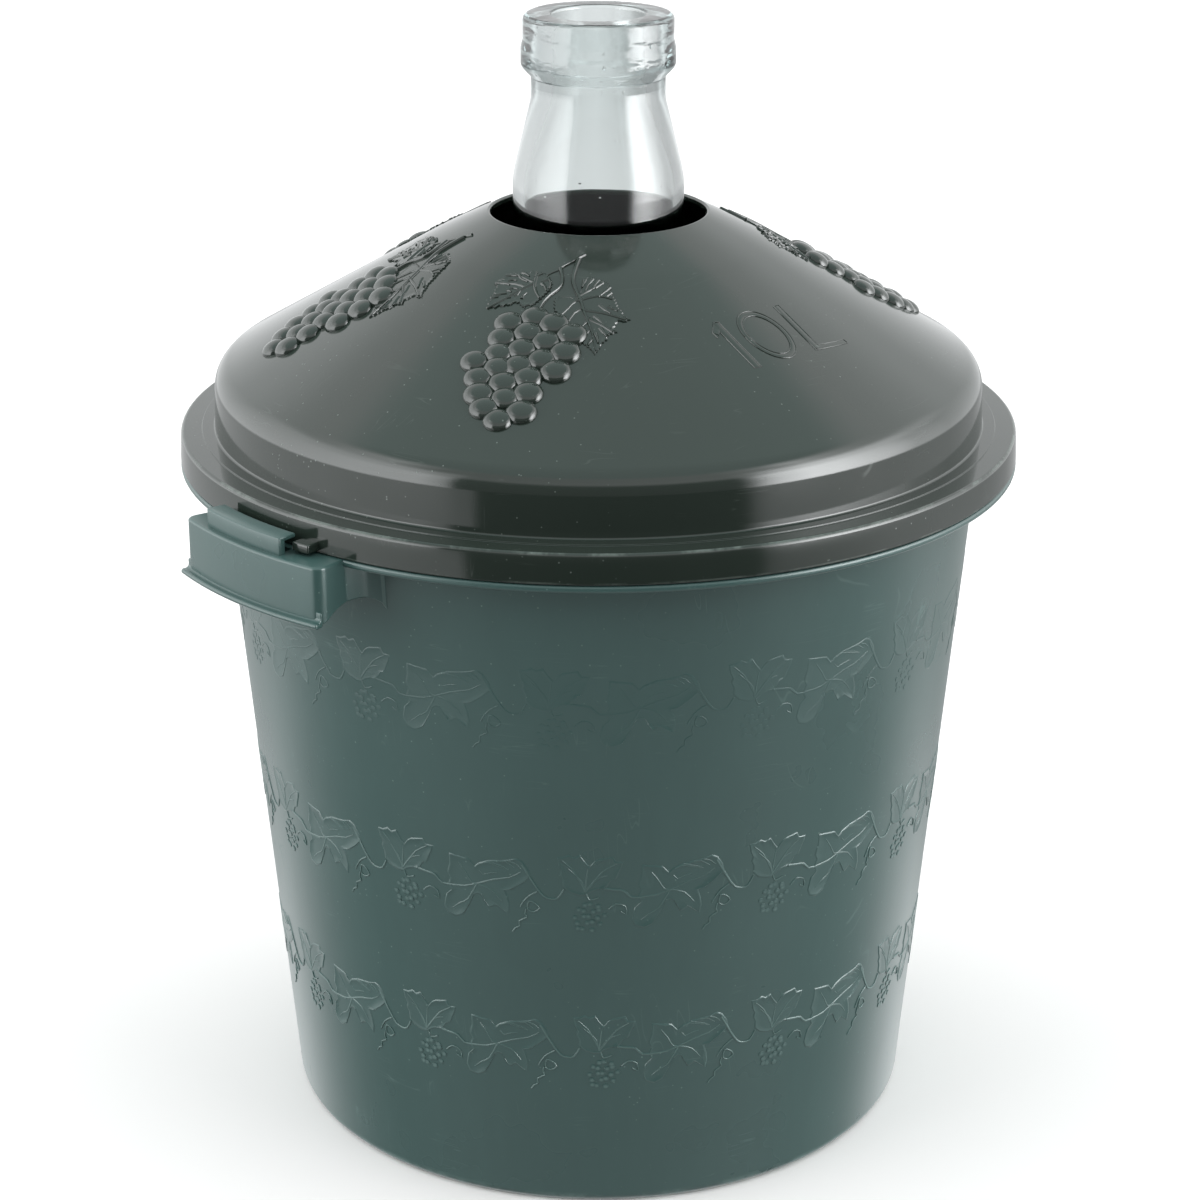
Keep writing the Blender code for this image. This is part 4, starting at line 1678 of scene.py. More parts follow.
    def ring(self, copies: Grower, studs: Grower, pail: Pail, band: Garland) -> bpy.types.Mesh:
        """All motifs of a band.

        Args:
            copies: the ring tree.
            studs: the stud tree.
            pail: the pail.
            band: the band.

        Returns:
            Their mesh.
        """
        first = self.phase + math.radians(band.value[1])
        relief = self.relief(studs, pail, band)
        return copied(copies, f"garland_{band.name.lower()}", relief, self.repeats, first)


@dataclass
class Basket:
    """The basket: pail, ribs, two latch handles and three vine garlands, one moulding."""

    growers: Growers
    pail: Pail = field(default_factory=Pail)
    motif: VineMotif = field(default_factory=VineMotif)
    handle_count: int = 2
    finish: MouldedPlastic = MouldedPlastic(
        name="basket_green_plastic",
        colour=(0.050, 0.101, 0.094),
        # Pale tint of dust, scratches, scuffs and the painted highlight on the garland edges.
        rubbed_and_sheen=(0.20, 0.30, 0.28),
        roughness=0.28,
        haze=0.06,
        mottle=0.16,
        dust=0.5,
        scratches=0.35,
        grain=1.2,
        rings=(WearAndSheenRing(Along.HEIGHT, place=0.0015, half_width=0.003, strength=0.35),),
        # Garland edges painted pale: partly scuffing, partly a painted highlight along them.
        relief=ReliefWearAndSheen(Pail.foot_radius, (Pail.top_radius - Pail.foot_radius) / Pail.height),
    )

    def build(self) -> bpy.types.Object:
        """Make the piece.

        Returns:
            The basket, in place of its CAD node.
        """
        whole = Draft()
        whole.add(turned(self.growers.turning, "pail", self.pail.outline(), self.pail.sides))
        ribs = self.pail.rib_count
        whole.add(copied(self.growers.ring, "ribs", self.pail.rib(), ribs, math.pi / ribs))
        handle = LatchHandle(self.pail).mesh()
        whole.add(copied(self.growers.ring, "handles", handle, self.handle_count))
        for band in Garland:
            whole.add(self.motif.ring(self.growers.ring, self.growers.studs, self.pail, band))
        piece = piece_of("basket_moulding", whole.mesh("basket_moulding"), self.finish.material())
        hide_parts("basket")
        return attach(piece, "basket")


# The lid


def lid_leaf(
    middle: Point,
    edge: tuple[Point, ...],
    veins: tuple[tuple[Point, ...], ...],
    folds: tuple[tuple[Point, ...], ...],
    vein_width: float,
) -> DrawnLeaf:
    """Leaf of the lid, bolder and softer than those of the basket, with a toothed edge.

    Args:
        middle: its middle, in millimetres as all of it.
        edge: its drawn edge.
        veins: its veins.
        folds: its folds.
        vein_width: width of a vein at its root.

    Returns:
        The leaf.
    """
    leaf = DrawnLeaf(middle, edge, veins, folds, vein_width=vein_width, vein_end=0.9, vein_rise=0.42)
    soft = {"rise": 0.4, "edge_rise": 0.5, "fold_width": 1.5, "fold_steps": 2, "ridge": Ridge.GENTLE}
    return replace(leaf, tooth=0.6, pitch=0.9, rings=6, **soft)


@dataclass
class GrapeBunch:
    """Bunch of grapes on the lid, with its stem, leaves and tendril."""

    count: int = 5
    first: float = math.radians(61.6 - 90.0)
    step: float = math.radians(60.0)
    grapes: Cluster = Cluster(
        pairs(
            -9.7, 45.8, -1.5, 42.4, 5.5, 44.9, -10.3, 53, -2.1, 49.6, 4.8, 52.9, 12.5, 49.3, -9.6, 60,
            -2.3, 57.1, 5.4, 61.1, 12.2, 57.5, -17, 64.6, -8.2, 66.4, -1.6, 64.5, 11.1, 66.1, -13.8, 71.5,
            -4.8, 72.6, 2.8, 69.4, -11.6, 78.5, -2.5, 79.2, 4.5, 76.2, -8.3, 84.1, 4.3, 84.6, -2.4, 88.7,
        ),
        across=5.25,
        along=4.9,
        rise=2.7,
        segments=20,
        rings=12,
    )
    leaves: tuple[DrawnLeaf, ...] = (
        lid_leaf(
            middle=(-7.5, 29.5),
            edge=pairs(
                -1, 23.5, -2.5, 22, -5.5, 21, -8, 21, -8.5, 22.5, -11, 22, -12.5, 23.5, -14, 23,
                -16.5, 24.5, -17.5, 26.5, -19, 27.5, -20, 29, -18.5, 30.5, -19, 32.5, -18.5, 34,
                -19.5, 35.5, -19, 37, -19.5, 38.5, -19.5, 41, -17.5, 39.5, -16.5, 40, -15.5, 38.5, -14, 39,
                -13, 38, -11.5, 38, -10.5, 36.5, -8.5, 36.5, -7.5, 37.5, -6, 38.5, -5.5, 37, -4, 37.5,
                -2.5, 35.5, -1.5, 33.5, -0.5, 31.5, 0.5, 29.5, 0.5, 26.5,
            ),
            veins=(
                pairs(-5.5, 26.5, -5, 28.5, -3.5, 31.5, -2, 33.5),
                pairs(-5.5, 26.5, -8, 29, -11.5, 32.5, -15, 36.5, -19, 40.5),
                pairs(-5.5, 26.5, -9.5, 25, -12.5, 24), pairs(-8, 29, -12, 28, -19.5, 29),
                pairs(-5.5, 26.5, -5.5, 24, -6, 21.5),
            ),
            folds=(
                pairs(-6, 24, -4.5, 22.5, -3.5, 22), pairs(-11, 22.5, -9.5, 23, -8, 24),
                pairs(-11.5, 24, -10.5, 25.5, -8, 26.5), pairs(-16.5, 25, -14.5, 24.5, -12.5, 24.5),
                pairs(-15, 27, -13.5, 26.5, -12, 26.5), pairs(-17.5, 28.5, -15.5, 28.5, -14, 29),
                pairs(-13.5, 30.5, -12, 30, -10.5, 30.5), pairs(-14.5, 31.5, -13.5, 31.5, -12.5, 32),
                pairs(-18, 34.5, -16, 33.5, -14, 33), pairs(-19, 36, -18, 35.5, -16.5, 35),
                pairs(-14.5, 36, -13.5, 35, -12, 34.5), pairs(-11, 33.5, -10, 32.5, -9.5, 31),
                pairs(-8, 34.5, -8, 33, -7, 31.5), pairs(-3, 26.5, -1.5, 28, -0.5, 30),
                pairs(-3, 26, -1, 24.5, 0, 26.5, 0, 29),
            ),
            vein_width=1.5,
        ),
        lid_leaf(
            middle=(13.0, 36.5),
            edge=pairs(
                11, 28.5, 11, 23.5, 12, 22, 13.5, 22.5, 15.5, 23.5, 17, 24.5, 18.5, 24.5, 19.5, 26.5,
                20, 27.5, 21, 30, 23, 33, 24, 35, 25, 37, 26.5, 38.5, 27.5, 40.5, 30, 42.5, 28.5, 43.5,
                27, 42.5, 26, 43.5, 25.5, 46, 24.5, 47, 27, 48, 25, 49, 24, 49.5, 24.5, 51.5, 24, 52,
                23, 53.5, 23, 55, 22, 58, 20.5, 56, 17.5, 53.5, 13, 49, 8, 43.5, 4, 38, 3, 33.5, 4.5, 32,
                7.5, 32, 10, 32.5,
            ),
            veins=(
                pairs(10.5, 31.5, 14.5, 28, 17.5, 25.5), pairs(11.5, 33.5, 17, 31.5, 22, 33),
                pairs(13.5, 38, 21, 39.5, 28.5, 42.5), pairs(15.5, 41.5, 21, 44.5, 25.5, 48),
                pairs(11.5, 33.5, 10, 34, 8.5, 37.5, 6.5, 41.5),
            ),
            folds=(
                pairs(11, 24, 11, 26, 11, 27.5), pairs(13.5, 23.5, 12.5, 26.5, 12.5, 29.5),
                pairs(15.5, 24, 15, 26, 14.5, 28.5), pairs(17, 25, 16.5, 26.5, 15.5, 28),
                pairs(20, 27.5, 19, 29.5, 17.5, 32), pairs(21, 30, 20.5, 31, 20, 32),
                pairs(12.5, 37.5, 11, 39.5, 10, 44), pairs(16, 43.5, 15.5, 44.5, 15, 46),
                pairs(17.5, 47.5, 17, 49.5, 17, 51.5), pairs(19.5, 51.5, 19, 53, 19, 54),
                pairs(18.5, 35.5, 20.5, 37.5, 23, 39.5), pairs(21.5, 36.5, 23.5, 37.5, 25, 38.5),
                pairs(18, 40.5, 20, 42.5, 22, 45), pairs(21, 46, 22.5, 48, 24, 50),
                pairs(20, 48.5, 21, 50.5, 22, 53),
            ),
            vein_width=1.4,
        ),
    )
    strokes: tuple[Stroke, ...] = (
        Stroke(pairs(8, 11, 6.5, 12.5, 5, 14.5, 3.5, 16, 1.5, 18.5), 1.5, 0.9, rise=0.7),
        Stroke(pairs(1.5, 18.5, 2.5, 21, 3.5, 24, 3.5, 27.5, 1, 31.5, -0.5, 35, -1, 38), 1.5, rise=0.9),
        Stroke(pairs(6.5, 13.5, 6.5, 18, 7, 24, 9, 28.5, 11.5, 33, 14, 38.5), 1.8, 1.3, rise=1.0),
        Stroke(pairs(14, 38.5, 17, 44.5, 19, 48.5, 22, 56.5), 1.3, 0.5, rise=0.9),
        Stroke(pairs(1.5, 19, -0.5, 20.5, -2.5, 22.5, -4, 24.5, -5.5, 26.5), 0.9, 0.7, rise=0.4),
    )

    def relief(self, studs: Grower, face: MouldFace) -> bpy.types.Mesh:
        """One bunch.

        Args:
            studs: the stud tree.
            face: the lid's cone.

        Returns:
            Its mesh.
        """
        draft = Draft()
        for item in (*self.leaves, *self.strokes):
            item.lay(draft, face, 0)
        draft.add(self.grapes.grown(studs, "grapes", face, 0))
        return draft.mesh("grape_bunch")

    def ring(self, growers: Growers, face: MouldFace) -> bpy.types.Mesh:
        """All the bunches."""
        values = {"Count": self.count, "First": self.first, "Step": self.step}
        return growers.ring.grow("grape_bunches", self.relief(growers.studs, face), values)


@dataclass
class CapacityMark:
    """Ten litres, in plain low bands with a fine ridge round each."""

    angle: float = math.radians(1.6 - 90.0)
    band_width: float = 2.4
    band_rise: float = 0.14
    ridge_width: float = 0.55
    ridge_rise: float = 0.30
    bands: tuple[tuple[Point, ...], ...] = (
        pairs(-25.6, 52, -22.4, 48.6), pairs(-22.1, 47.4, -22.2, 69), pairs(6.4, 46, 6.4, 67.4),
        pairs(6, 67.2, 21.5, 69),
    )
    edges: tuple[tuple[Point, ...], ...] = (
        pairs(-20.7, 47, -20.8, 69.2, -23.6, 69.2, -23.5, 51.6, -26.2, 54, -26.2, 51.5, -22.6, 47),
        pairs(5.2, 45.7, 5.2, 67.9, 21.7, 70, 21.4, 68.2, 7.8, 66.2, 7.6, 45.9),
    )
    ring_middle: Point = (-8.0, 56.4)
    ring_half: Point = (7.75, 10.45)
    ring_edges: tuple[Point, ...] = pairs(8.6, 11.6, 6.9, 9.3)
    ring_share: float = 0.7
    ring_points: int = 16

    def oval(self, half: Point) -> tuple[Point, ...]:
        """Oval round the ring's middle, with half widths across and along."""
        return tuple(
            (self.ring_middle[0] + x * half[0], self.ring_middle[1] + y * half[1])
            for x, y in arc(1.0, 0, math.tau, self.ring_points)[:-1]
        )

    def lay(self, draft: Draft, face: MouldFace) -> None:
        """Add the figures to a draft.

        Args:
            draft: draft of the lid.
            face: the lid's cone.
        """
        ridge = {"rise": self.ridge_rise, "closed": True}
        band = {"rise": self.band_rise, "ridge": Ridge.FLAT}
        strokes = [Stroke(path, self.band_width, smooth=False, **band) for path in self.bands]
        strokes += [Stroke(path, self.ridge_width, smooth=False, **ridge) for path in self.edges]
        strokes += [Stroke(self.oval(half), self.ridge_width, **ridge) for half in self.ring_edges]
        oval = self.oval(self.ring_half)
        strokes.append(Stroke(oval, self.band_width * self.ring_share, closed=True, **band))
        for stroke in strokes:
            stroke.lay(draft, face, self.angle)


@dataclass
class Lid:
    """The lid: coned dome, ledge, flared skirt, lugs, grapes and capacity mark, one moulding."""

    growers: Growers
    pail: Pail
    fit_gap: float = 0.0003
    wall: float = 0.0022
    skirt: float = 0.0104
    flare: float = 0.0005
    skirt_round: float = 0.0014
    ledge_step: float = 0.0005
    ledge_width: float = 0.0046
    dome_step: float = 0.0009
    dome_draft: float = 0.0006
    dome_wall: float = 0.0201
    dome: float = 0.0749
    shoulder_round: float = 0.0100
    dome_foot_round: float = 0.0008
    crown_bulge: float = 0.0014
    crown_round: float = 0.0800
    crown_share: float = 0.79
    opening: float = 0.0377
    lug_reach: float = 0.0050
    lug_height: float = 0.0030
    lug_gap: float = 0.0011
    lug_start: float = math.radians(6.6)
    lug_angle: float = math.radians(2.7)
    lug_soft: float = 0.0005
    lug_steps: int = 6
    lug_count: int = 2
    edge_round: float = 0.0004
    ledge_round: float = 0.0002
    inner_round: float = 0.0006
    face_turn: float = math.radians(1.0)
    sides: int = 192
    bunch: GrapeBunch = field(default_factory=GrapeBunch)
    mark: CapacityMark = field(default_factory=CapacityMark)
    finish: MouldedPlastic = MouldedPlastic(
        name="lid_green_plastic",
        colour=(0.021, 0.030, 0.024),
        # Pale tint of dust, scratches, scuffs and the painted highlight on the rim.
        rubbed_and_sheen=(0.16, 0.19, 0.17),
        roughness=0.10,
        haze=0.03,
        mottle=0.10,
        dust=0.6,
        scratches=0.25,
        grain=0.4,
        rings=(
            # Skirt's rounded edge: pale scuffs and a painted highlight along the edge.
            WearAndSheenRing(Along.RADIUS, 0.1474, 0.0006, 0.55, 0.2530),
            WearAndSheenRing(Along.HEIGHT, 0.2450, 0.0004, 0.3),
            WearAndSheenRing(Along.RADIUS, 0.0380, 0.0005, 0.5, 0.3290),
        ),
    )

    @property
    def seat(self) -> float:
        """Height of the skirt's foot."""
        return self.pail.height + self.fit_gap

    @property
    def ledge(self) -> float:
        """Height of the ledge."""
        return self.seat + self.skirt

    @property
    def opening_height(self) -> float:
        """Height of the opening's edge."""
        return self.ledge + self.dome

    @property
    def shoulder(self) -> float:
        """Radius of the dome at its shoulder."""
        return self.pail.top_radius + self.dome_step - self.dome_draft

    @property
    def slope(self) -> float:
        """Rise of the straight cone per length of radius."""
        return (self.dome - self.dome_wall) / (self.shoulder - self.opening)

    def crown(self) -> Point:
        """Place at which the cone turns to its crown.

        Returns:
            Its radius and height.
        """
        radius = self.shoulder + (self.opening - self.shoulder) * self.crown_share
        rise = (self.dome - self.dome_wall) * self.crown_share
        return radius, self.ledge + self.dome_wall + rise + self.crown_bulge

    def cone_corners(self) -> list[Triple]:
        """Corners of the cone's outer face, as rounded takes them, from the opening to the shoulder."""
        return [
            (self.opening, self.opening_height, self.wall / 2),
            (*self.crown(), self.crown_round),
            (self.shoulder, self.ledge + self.dome_wall, self.shoulder_round),
        ]

    def outline(self) -> list[Point]:
        """Section of the lid.

        Returns:
            A closed loop from the opening over the cone and back inside.
        """
        foot = self.pail.top_radius + self.dome_step
        rim = self.pail.flange_radius - SKIN
        ledge_rim = rim - self.flare
        under = self.ledge - self.wall
        shoulder_height = self.ledge + self.dome_wall
        thick = self.wall / math.cos(math.atan(self.slope))
        crown = self.crown()
        return rounded([
            (self.opening, self.opening_height - thick, self.edge_round),
            *self.cone_corners(),
            (foot, self.ledge + self.ledge_step, self.dome_foot_round),
            (foot + self.ledge_width, self.ledge + self.ledge_step, self.ledge_round),
            (foot + self.ledge_width, self.ledge, self.ledge_round),
            (ledge_rim, self.ledge, self.skirt_round),
            (rim, self.seat, self.edge_round),
            (rim - self.wall, self.seat, self.edge_round),
            (ledge_rim - self.wall, under, self.inner_round),
            (foot - self.wall, under, self.inner_round),
            (self.shoulder - self.wall, shoulder_height - self.wall / 2, self.shoulder_round - self.wall),
            (crown[0], crown[1] - thick, self.crown_round),
        ], WIDE_TURN)

    def face(self) -> MouldFace:
        """Outer face of the cone.

        Returns:
            The face, from the opening's edge to the shoulder.
        """
        corners = self.cone_corners()
        first, last = (*corners[0][:2], 0), (*corners[2][:2], 0)
        return MouldFace(rounded([first, corners[1], last], self.face_turn))

    def lug(self) -> bpy.types.Mesh:
        """Make a lug.

        Returns:
            Lug that stands out from the skirt beside the hook's open end.
        """
        bottom = self.pail.height + self.lug_gap
        inner = self.pail.flange_radius - self.wall
        outer = self.pail.flange_radius + self.lug_reach
        outline = rectangle(inner, outer, bottom, bottom + self.lug_height)
        block = swept(outline, self.lug_start, self.lug_start + self.lug_angle, self.lug_steps)
        return worked("lug", block, bevel=self.lug_soft)

    def build(self) -> bpy.types.Object:
        """Make the piece.

        Returns:
            The lid, in place of its CAD node.
        """
        whole = Draft()
        whole.add(turned(self.growers.turning, "dome", self.outline(), self.sides))
        whole.add(copied(self.growers.ring, "lugs", self.lug(), self.lug_count))
        whole.add(self.bunch.ring(self.growers, self.face()))
        self.mark.lay(whole, self.face())
        piece = piece_of("lid_moulding", whole.mesh("lid_moulding"), self.finish.material())
        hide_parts("lid")
        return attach(piece, "lid")


# The bottle


@dataclass
class Bottle:
    """The blown bottle: pushed-up base, round body, bell-shaped neck and thick moulded collar."""

    growers: Growers
    pail: Pail
    lid: Lid
    basket_gap: float = 0.0062
    wall: float = 0.0036
    base: float = 0.0060
    heel_round: float = 0.0140
    punt: float = 0.0180
    punt_round: float = 0.0500
    punt_flat_share: float = 0.52
    stand_share: float = 0.80
    shoulder_round: float = 0.0480
    shoulder_drop: float = 0.0215
    root_round: float = 0.0220
    neck: float = 0.0299
    neck_wall: float = 0.0042
    neck_rise: float = 0.0680
    bell_depth: float = 0.0560
    bell_round: float = 0.0350
    waist: float = 0.0232
    waist_depth: float = 0.0285
    waist_round: float = 0.0100
    collar_depth: float = 0.0175
    collar_slope: float = 0.0037
    collar: float = 0.0267
    collar_step_depth: float = 0.0100
    collar_step: float = 0.0007
    collar_step_half: float = 0.0014
    collar_round: float = 0.0032
    mouth_round: float = 0.0020
    bore: float = 0.0159
    bore_round: float = 0.0014
    sides: int = 128
    unevenness: float = 0.0005
    grain: float = 30.0
    finish: BottleGlass = field(default_factory=BottleGlass)

    def body_radius(self, height: float) -> float:
        """Outer radius of the body at a height."""
        return self.pail.radius(height) - self.pail.wall - self.basket_gap

    def outline(self) -> list[Point]:
        """Section of the bottle.

        Returns:
            Points from the axis under the base, up outside, and down inside.
        """
        stand = self.pail.foot_recess + self.pail.floor + self.lid.fit_gap
        mouth = self.lid.opening_height + self.neck_rise - self.unevenness / 2 - SKIN
        root = self.lid.opening_height - self.shoulder_drop
        shoulder = root - (self.body_radius(root) - self.neck) * self.lid.slope
        heel = self.body_radius(stand)
        inside_drop = self.wall / math.cos(math.atan(self.lid.slope))
        neck_inside = self.neck - self.neck_wall
        shoulder_inside = self.body_radius(shoulder) - self.wall
        waist = mouth - self.waist_depth
        step = mouth - self.collar_step_depth
        return rounded([
            (0, stand + self.punt, 0),
            (heel * self.punt_flat_share, stand + self.punt, self.punt_round),
            (heel * self.stand_share, stand, self.heel_round),
            (heel, stand, self.heel_round),
            (self.body_radius(shoulder), shoulder, self.shoulder_round),
            (self.neck, root, self.root_round),
            (self.neck, mouth - self.bell_depth, self.bell_round),
            (self.waist, waist, self.waist_round),
            (self.waist, mouth - self.collar_depth - self.collar_slope, self.collar_round / 2),
            (self.collar, mouth - self.collar_depth, self.collar_round),
            (self.collar, step - self.collar_step_half, self.collar_step_half),
            (self.collar - self.collar_step, step + self.collar_step_half, self.collar_step_half),
            (self.collar - self.collar_step, mouth, self.mouth_round),
            (self.bore, mouth, self.bore_round),
            (self.bore, waist, self.waist_round),
            (neck_inside, mouth - self.bell_depth, self.bell_round),
            (neck_inside, root - inside_drop, self.root_round + self.wall),
            (shoulder_inside, shoulder - inside_drop / 2, self.shoulder_round - self.wall),
            (heel - self.wall, stand + self.base, self.heel_round),
            (heel * self.stand_share, stand + self.base, self.heel_round),
            (heel * self.punt_flat_share, stand + self.punt + self.base, self.punt_round),
            (0, stand + self.punt + self.base, 0),
        ], WIDE_TURN)

    def build(self) -> bpy.types.Object:
        """Make the piece.

        Returns:
            The bottle, in place of its CAD node.
        """
        whole = Draft()
        uneven = (self.unevenness, self.grain)
        whole.add(turned(self.growers.turning, "bottle", self.outline(), self.sides, uneven))
        piece = piece_of("glass_bottle", whole.mesh("glass_bottle"), self.finish.material())
        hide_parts("bottle")
        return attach(piece, "bottle")


# The studio


@dataclass(frozen=True)
class Belt:
    """Belt of light far away, up to a height, with its strength by direction. Degrees; 0 faces the camera."""

    top: float
    soft: float
    strengths: tuple[Point, ...]
    tint: Colour = (0.975, 0.99, 1.0)


@dataclass
class Studio:
    """Plain pale floor, soft light in belts all round, and the camera."""

    front: float = math.radians(-133.4)
    camera_place: Triple = (-0.7053, -0.7466, 0.5731)
    camera_turn: Triple = (math.radians(69.225), 0.0, math.radians(-43.4))
    lens: float = 90.1
    sensor: float = 36.0
    floor_reach: float = 40.0
    backdrop: float = 1.0
    soft_belts: tuple[Belt, ...] = (
        Belt(-28, 3, pairs(
            -180, 0.6, -110, 0.65, -67, 0.6, -22, 0.42, 22, 0.42, 67, 0.65, 110, 0.7, 180, 0.6,
        )),
        Belt(0, 4, pairs(
            -180, 0.65, -126, 1.2, -85, 2, -50, 2, -42, 0.1, 43, 0.1, 50, 1.3, 85, 1.9, 126, 0.9, 180, 0.65,
        )),
        Belt(31, 4, pairs(
            -180, 1.1, -150, 1.4, -125, 2.6, -95, 3.4, -52, 3.2, -41, 0.1, 41, 0.1, 52, 3.2, 95, 3.4,
            125, 2.6, 150, 1.25, 180, 1.1,
        )),
        Belt(52, 5, pairs(
            -180, 1.1, -140, 1.45, -74, 2.5, -40, 1.2, 40, 1.2, 74, 2.5, 140, 1.45, 180, 1.1,
        )),
        Belt(90, 1, pairs(-180, 1.2, 180, 1.2), (0.85, 1.0, 1.0)),
    )
    gloss_belts: tuple[Belt, ...] = (
        Belt(-37, 4, pairs(
            -180, 0.8, -151, 1.1, -131, 0.9, -100, 0.3, -85, 0.25, -67, 0.45, -45, 0.58, 0, 0.6, 45, 0.68,
            67, 0.68, 85, 0.4, 115, 0.5, 131, 1.1, 151, 1.2, 180, 0.8,
        )),
        Belt(-28, 3, pairs(
            -180, 1, -151, 1.4, -131, 1.1, -115, 0.6, -100, 0.3, -85, 0.25, -67, 0.5, -45, 0.68, -22, 0.75,
            22, 0.78, 45, 0.85, 67, 0.85, 85, 0.45, 100, 0.42, 115, 0.7, 131, 1.4, 151, 1.6, 180, 1,
        )),
        Belt(-11, 1.6, pairs(
            -180, 0.65, -146, 0.78, -126, 1.1, -105, 1.45, -85, 1.75, -64, 1.6, -50, 1.4, -36.5, 1.25,
            -34, 0.1, 0, 0.05, 43, 0.1, 46, 0.7, 50, 0.9, 64, 1.1, 85, 1.5, 105, 1.25, 126, 0.8, 146, 0.6,
            180, 0.65,
        )),
        Belt(24, 5, pairs(
            -180, 1.1, -150, 1.35, -138, 1.7, -126, 2.4, -104, 3.6, -84, 5, -73, 5.8, -62, 6, -52, 6.2,
            -44, 4, -41, 0.3, 41, 0.3, 44, 2.2, 50, 9, 54, 12, 63, 15.5, 73, 14, 84, 10, 104, 3.6, 122, 2,
            138, 1.6, 150, 1.25, 180, 1.1,
        )),
        Belt(35, 5, pairs(
            -180, 1.1, -140, 1.6, -114, 3, -90, 4, -77, 4.6, -65, 4.8, -56, 4.4, -46, 3, -40, 1.3, 40, 1.5,
            46, 2.3, 55, 7, 66, 11, 77, 10, 90, 7, 114, 3.2, 140, 1.6, 180, 1.1,
        )),
        Belt(50, 5, pairs(
            -180, 1.1, -136, 1.45, -119, 1.8, -104, 2.2, -90, 3, -75, 3.4, -64, 2.4, -53, 1.4, -40, 1.2,
            40, 1.4, 49, 1.9, 60, 3, 71, 5.5, 80, 4, 90, 3.2, 104, 2.3, 136, 1.6, 180, 1.1,
        )),
        Belt(90, 1, pairs(-180, 1.2, 180, 1.2), (0.85, 1.0, 1.0)),
    )
    through_glass: tuple[Point, ...] = pairs(
        -180, 0.88, -176, 0.85, -168, 0.66, -158, 0.56, -105, 0.54, -92, 1.1, -60, 1.6, -46, 1.5, -42, 0.5,
        42, 0.5, 46, 1.4, 75, 1.6, 92, 1, 105, 0.42, 158, 0.38, 168, 0.5, 176, 0.8, 180, 0.88,
    )
    glass_tint: Colour = (0.98, 0.99, 1.0)

    @staticmethod
    def glow(wiring: Wiring, around: Signal, strengths: tuple[Point, ...], tint: Colour) -> Signal:
        """Light by direction round the object.

        Args:
            wiring: the world's tree.
            around: direction round the object, 0 to 1.
            strengths: strength by direction in degrees.
            tint: colour at strength 1.

        Returns:
            Colour of the light.
        """
        peak = max(strength for _, strength in strengths)
        stops = [
            (degrees / 360.0 + 0.5, tuple(part * strength / peak for part in tint))
            for degrees, strength in strengths
        ]
        return wiring.scaled(wiring.node("ShaderNodeValToRGB", {"stops": stops}, {"Fac": around}), peak)

    def sky(self, wiring: Wiring, around: Signal, elevation: Signal, belts: tuple[Belt, ...]) -> Signal:
        """Light from belts that run into each other.

        Args:
            wiring: the world's tree.
            around: direction round the object, 0 to 1.
            elevation: height in degrees.
            belts: the belts, lowest first.

        Returns:
            Colour of the light.
        """
        below = belts[0]
        total = self.glow(wiring, around, below.strengths, below.tint)
        for belt in belts[1:]:
            share = elevation.between(below.top - below.soft, below.top + below.soft)
            total = wiring.blend(share, total, self.glow(wiring, around, belt.strengths, belt.tint))
            below = belt
        return total

    def light(self) -> None:
        """Make the world: belts of light by direction, and plain backdrops for the camera and the glass."""
        world = bpy.data.worlds.new("studio")
        world.use_nodes = True
        world.node_tree.nodes.clear()
        wiring = Wiring(world.node_tree)
        heading = wiring.node("ShaderNodeTexCoord", output="Generated")
        turned_heading = wiring.node(
            "ShaderNodeVectorRotate", {"rotation_type": "Z_AXIS"}, {"Vector": heading, "Angle": -self.front}
        )
        x, y, z = wiring.parts(turned_heading)
        around = wiring.maths("ARCTAN2", y, x) / math.tau + 0.5
        elevation = wiring.maths("ARCSINE", z) * math.degrees(1.0)
        rays = wiring.node("ShaderNodeLightPath")
        total = wiring.blend(
            rays.output("Is Glossy Ray"),
            self.sky(wiring, around, elevation, self.soft_belts),
            self.sky(wiring, around, elevation, self.gloss_belts),
        )
        through = self.glow(wiring, around, self.through_glass, self.glass_tint)
        total = wiring.blend(rays.output("Is Transmission Ray"), total, through)
        glow = wiring.node("ShaderNodeBackground", inputs={"Color": total, "Strength": 1.0})
        white = (1.0, 1.0, 1.0)
        plain = wiring.node("ShaderNodeBackground", inputs={"Color": white, "Strength": self.backdrop})
        inputs = {0: rays.output("Is Camera Ray"), 1: glow, 2: plain}
        shown = wiring.node("ShaderNodeMixShader", inputs=inputs)
        wiring.node("ShaderNodeOutputWorld", inputs={"Surface": shown})
        bpy.context.scene.world = world
        bpy.context.scene.view_settings.view_transform = "Standard"

    def floor(self) -> None:
        """Make the floor, which the camera sees but which doesn't show in gloss, through glass or to bounced
        light.
        """
        draft = Draft()
        reach = self.floor_reach
        draft.cap(draft.row((x, y, 0) for x, y in rectangle(-reach, reach, -reach, reach)))
        floor = piece_of("floor", draft.mesh("floor"), FloorPaper().material())
        floor.visible_glossy = False
        floor.visible_transmission = False
        floor.visible_diffuse = False

    def camera(self) -> None:
        """Make the camera at the photograph's viewing angle."""
        lens = bpy.data.cameras.new("camera")
        lens.sensor_width = self.sensor
        lens.lens = self.lens
        camera = bpy.data.objects.new("camera", lens)
        camera.location = self.camera_place
        camera.rotation_euler = self.camera_turn
        bpy.context.scene.collection.objects.link(camera)
        bpy.context.scene.camera = camera

    def build(self) -> None:
        """Make floor, light and camera."""
        self.floor()
        self.light()
        self.camera()


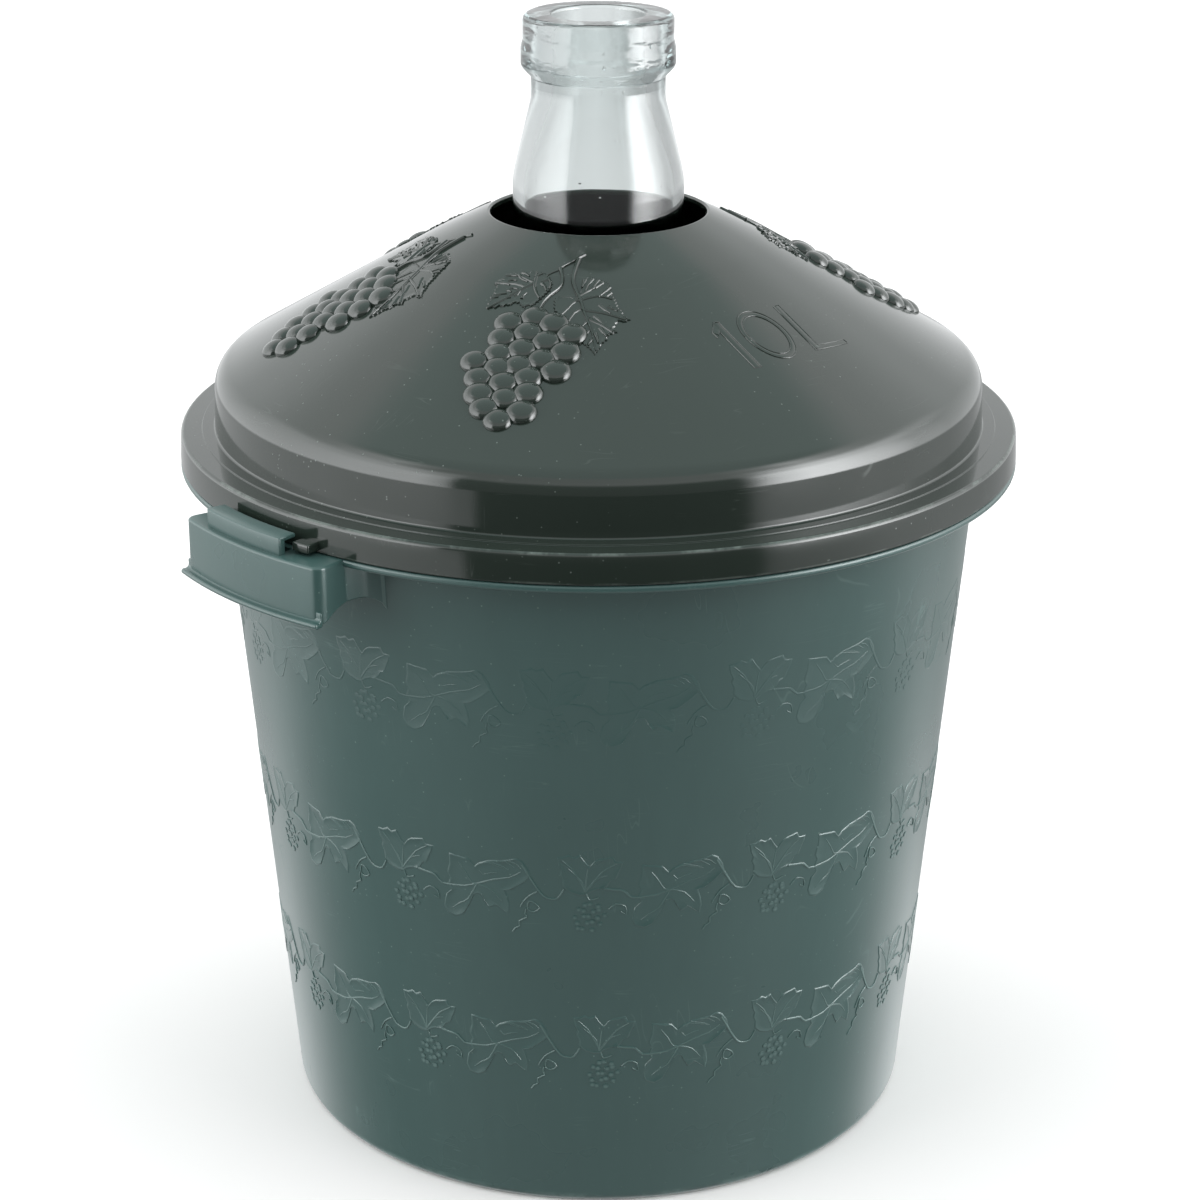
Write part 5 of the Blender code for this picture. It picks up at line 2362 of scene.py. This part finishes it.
def main() -> None:
    """Build the studio and the three pieces, and report each."""
    logging.basicConfig(level=logging.INFO, format="%(name)s: %(message)s")
    Studio().build()
    growers = Growers()
    basket = Basket(growers)
    lid = Lid(growers, basket.pail)
    bottle = Bottle(growers, basket.pail, lid)
    for maker in (basket, bottle, lid):
        piece = maker.build()
        piece.data.calc_loop_triangles()
        LOG.info("%s: %d triangles", piece.name, len(piece.data.loop_triangles))


if __name__ == "__main__":
    main()
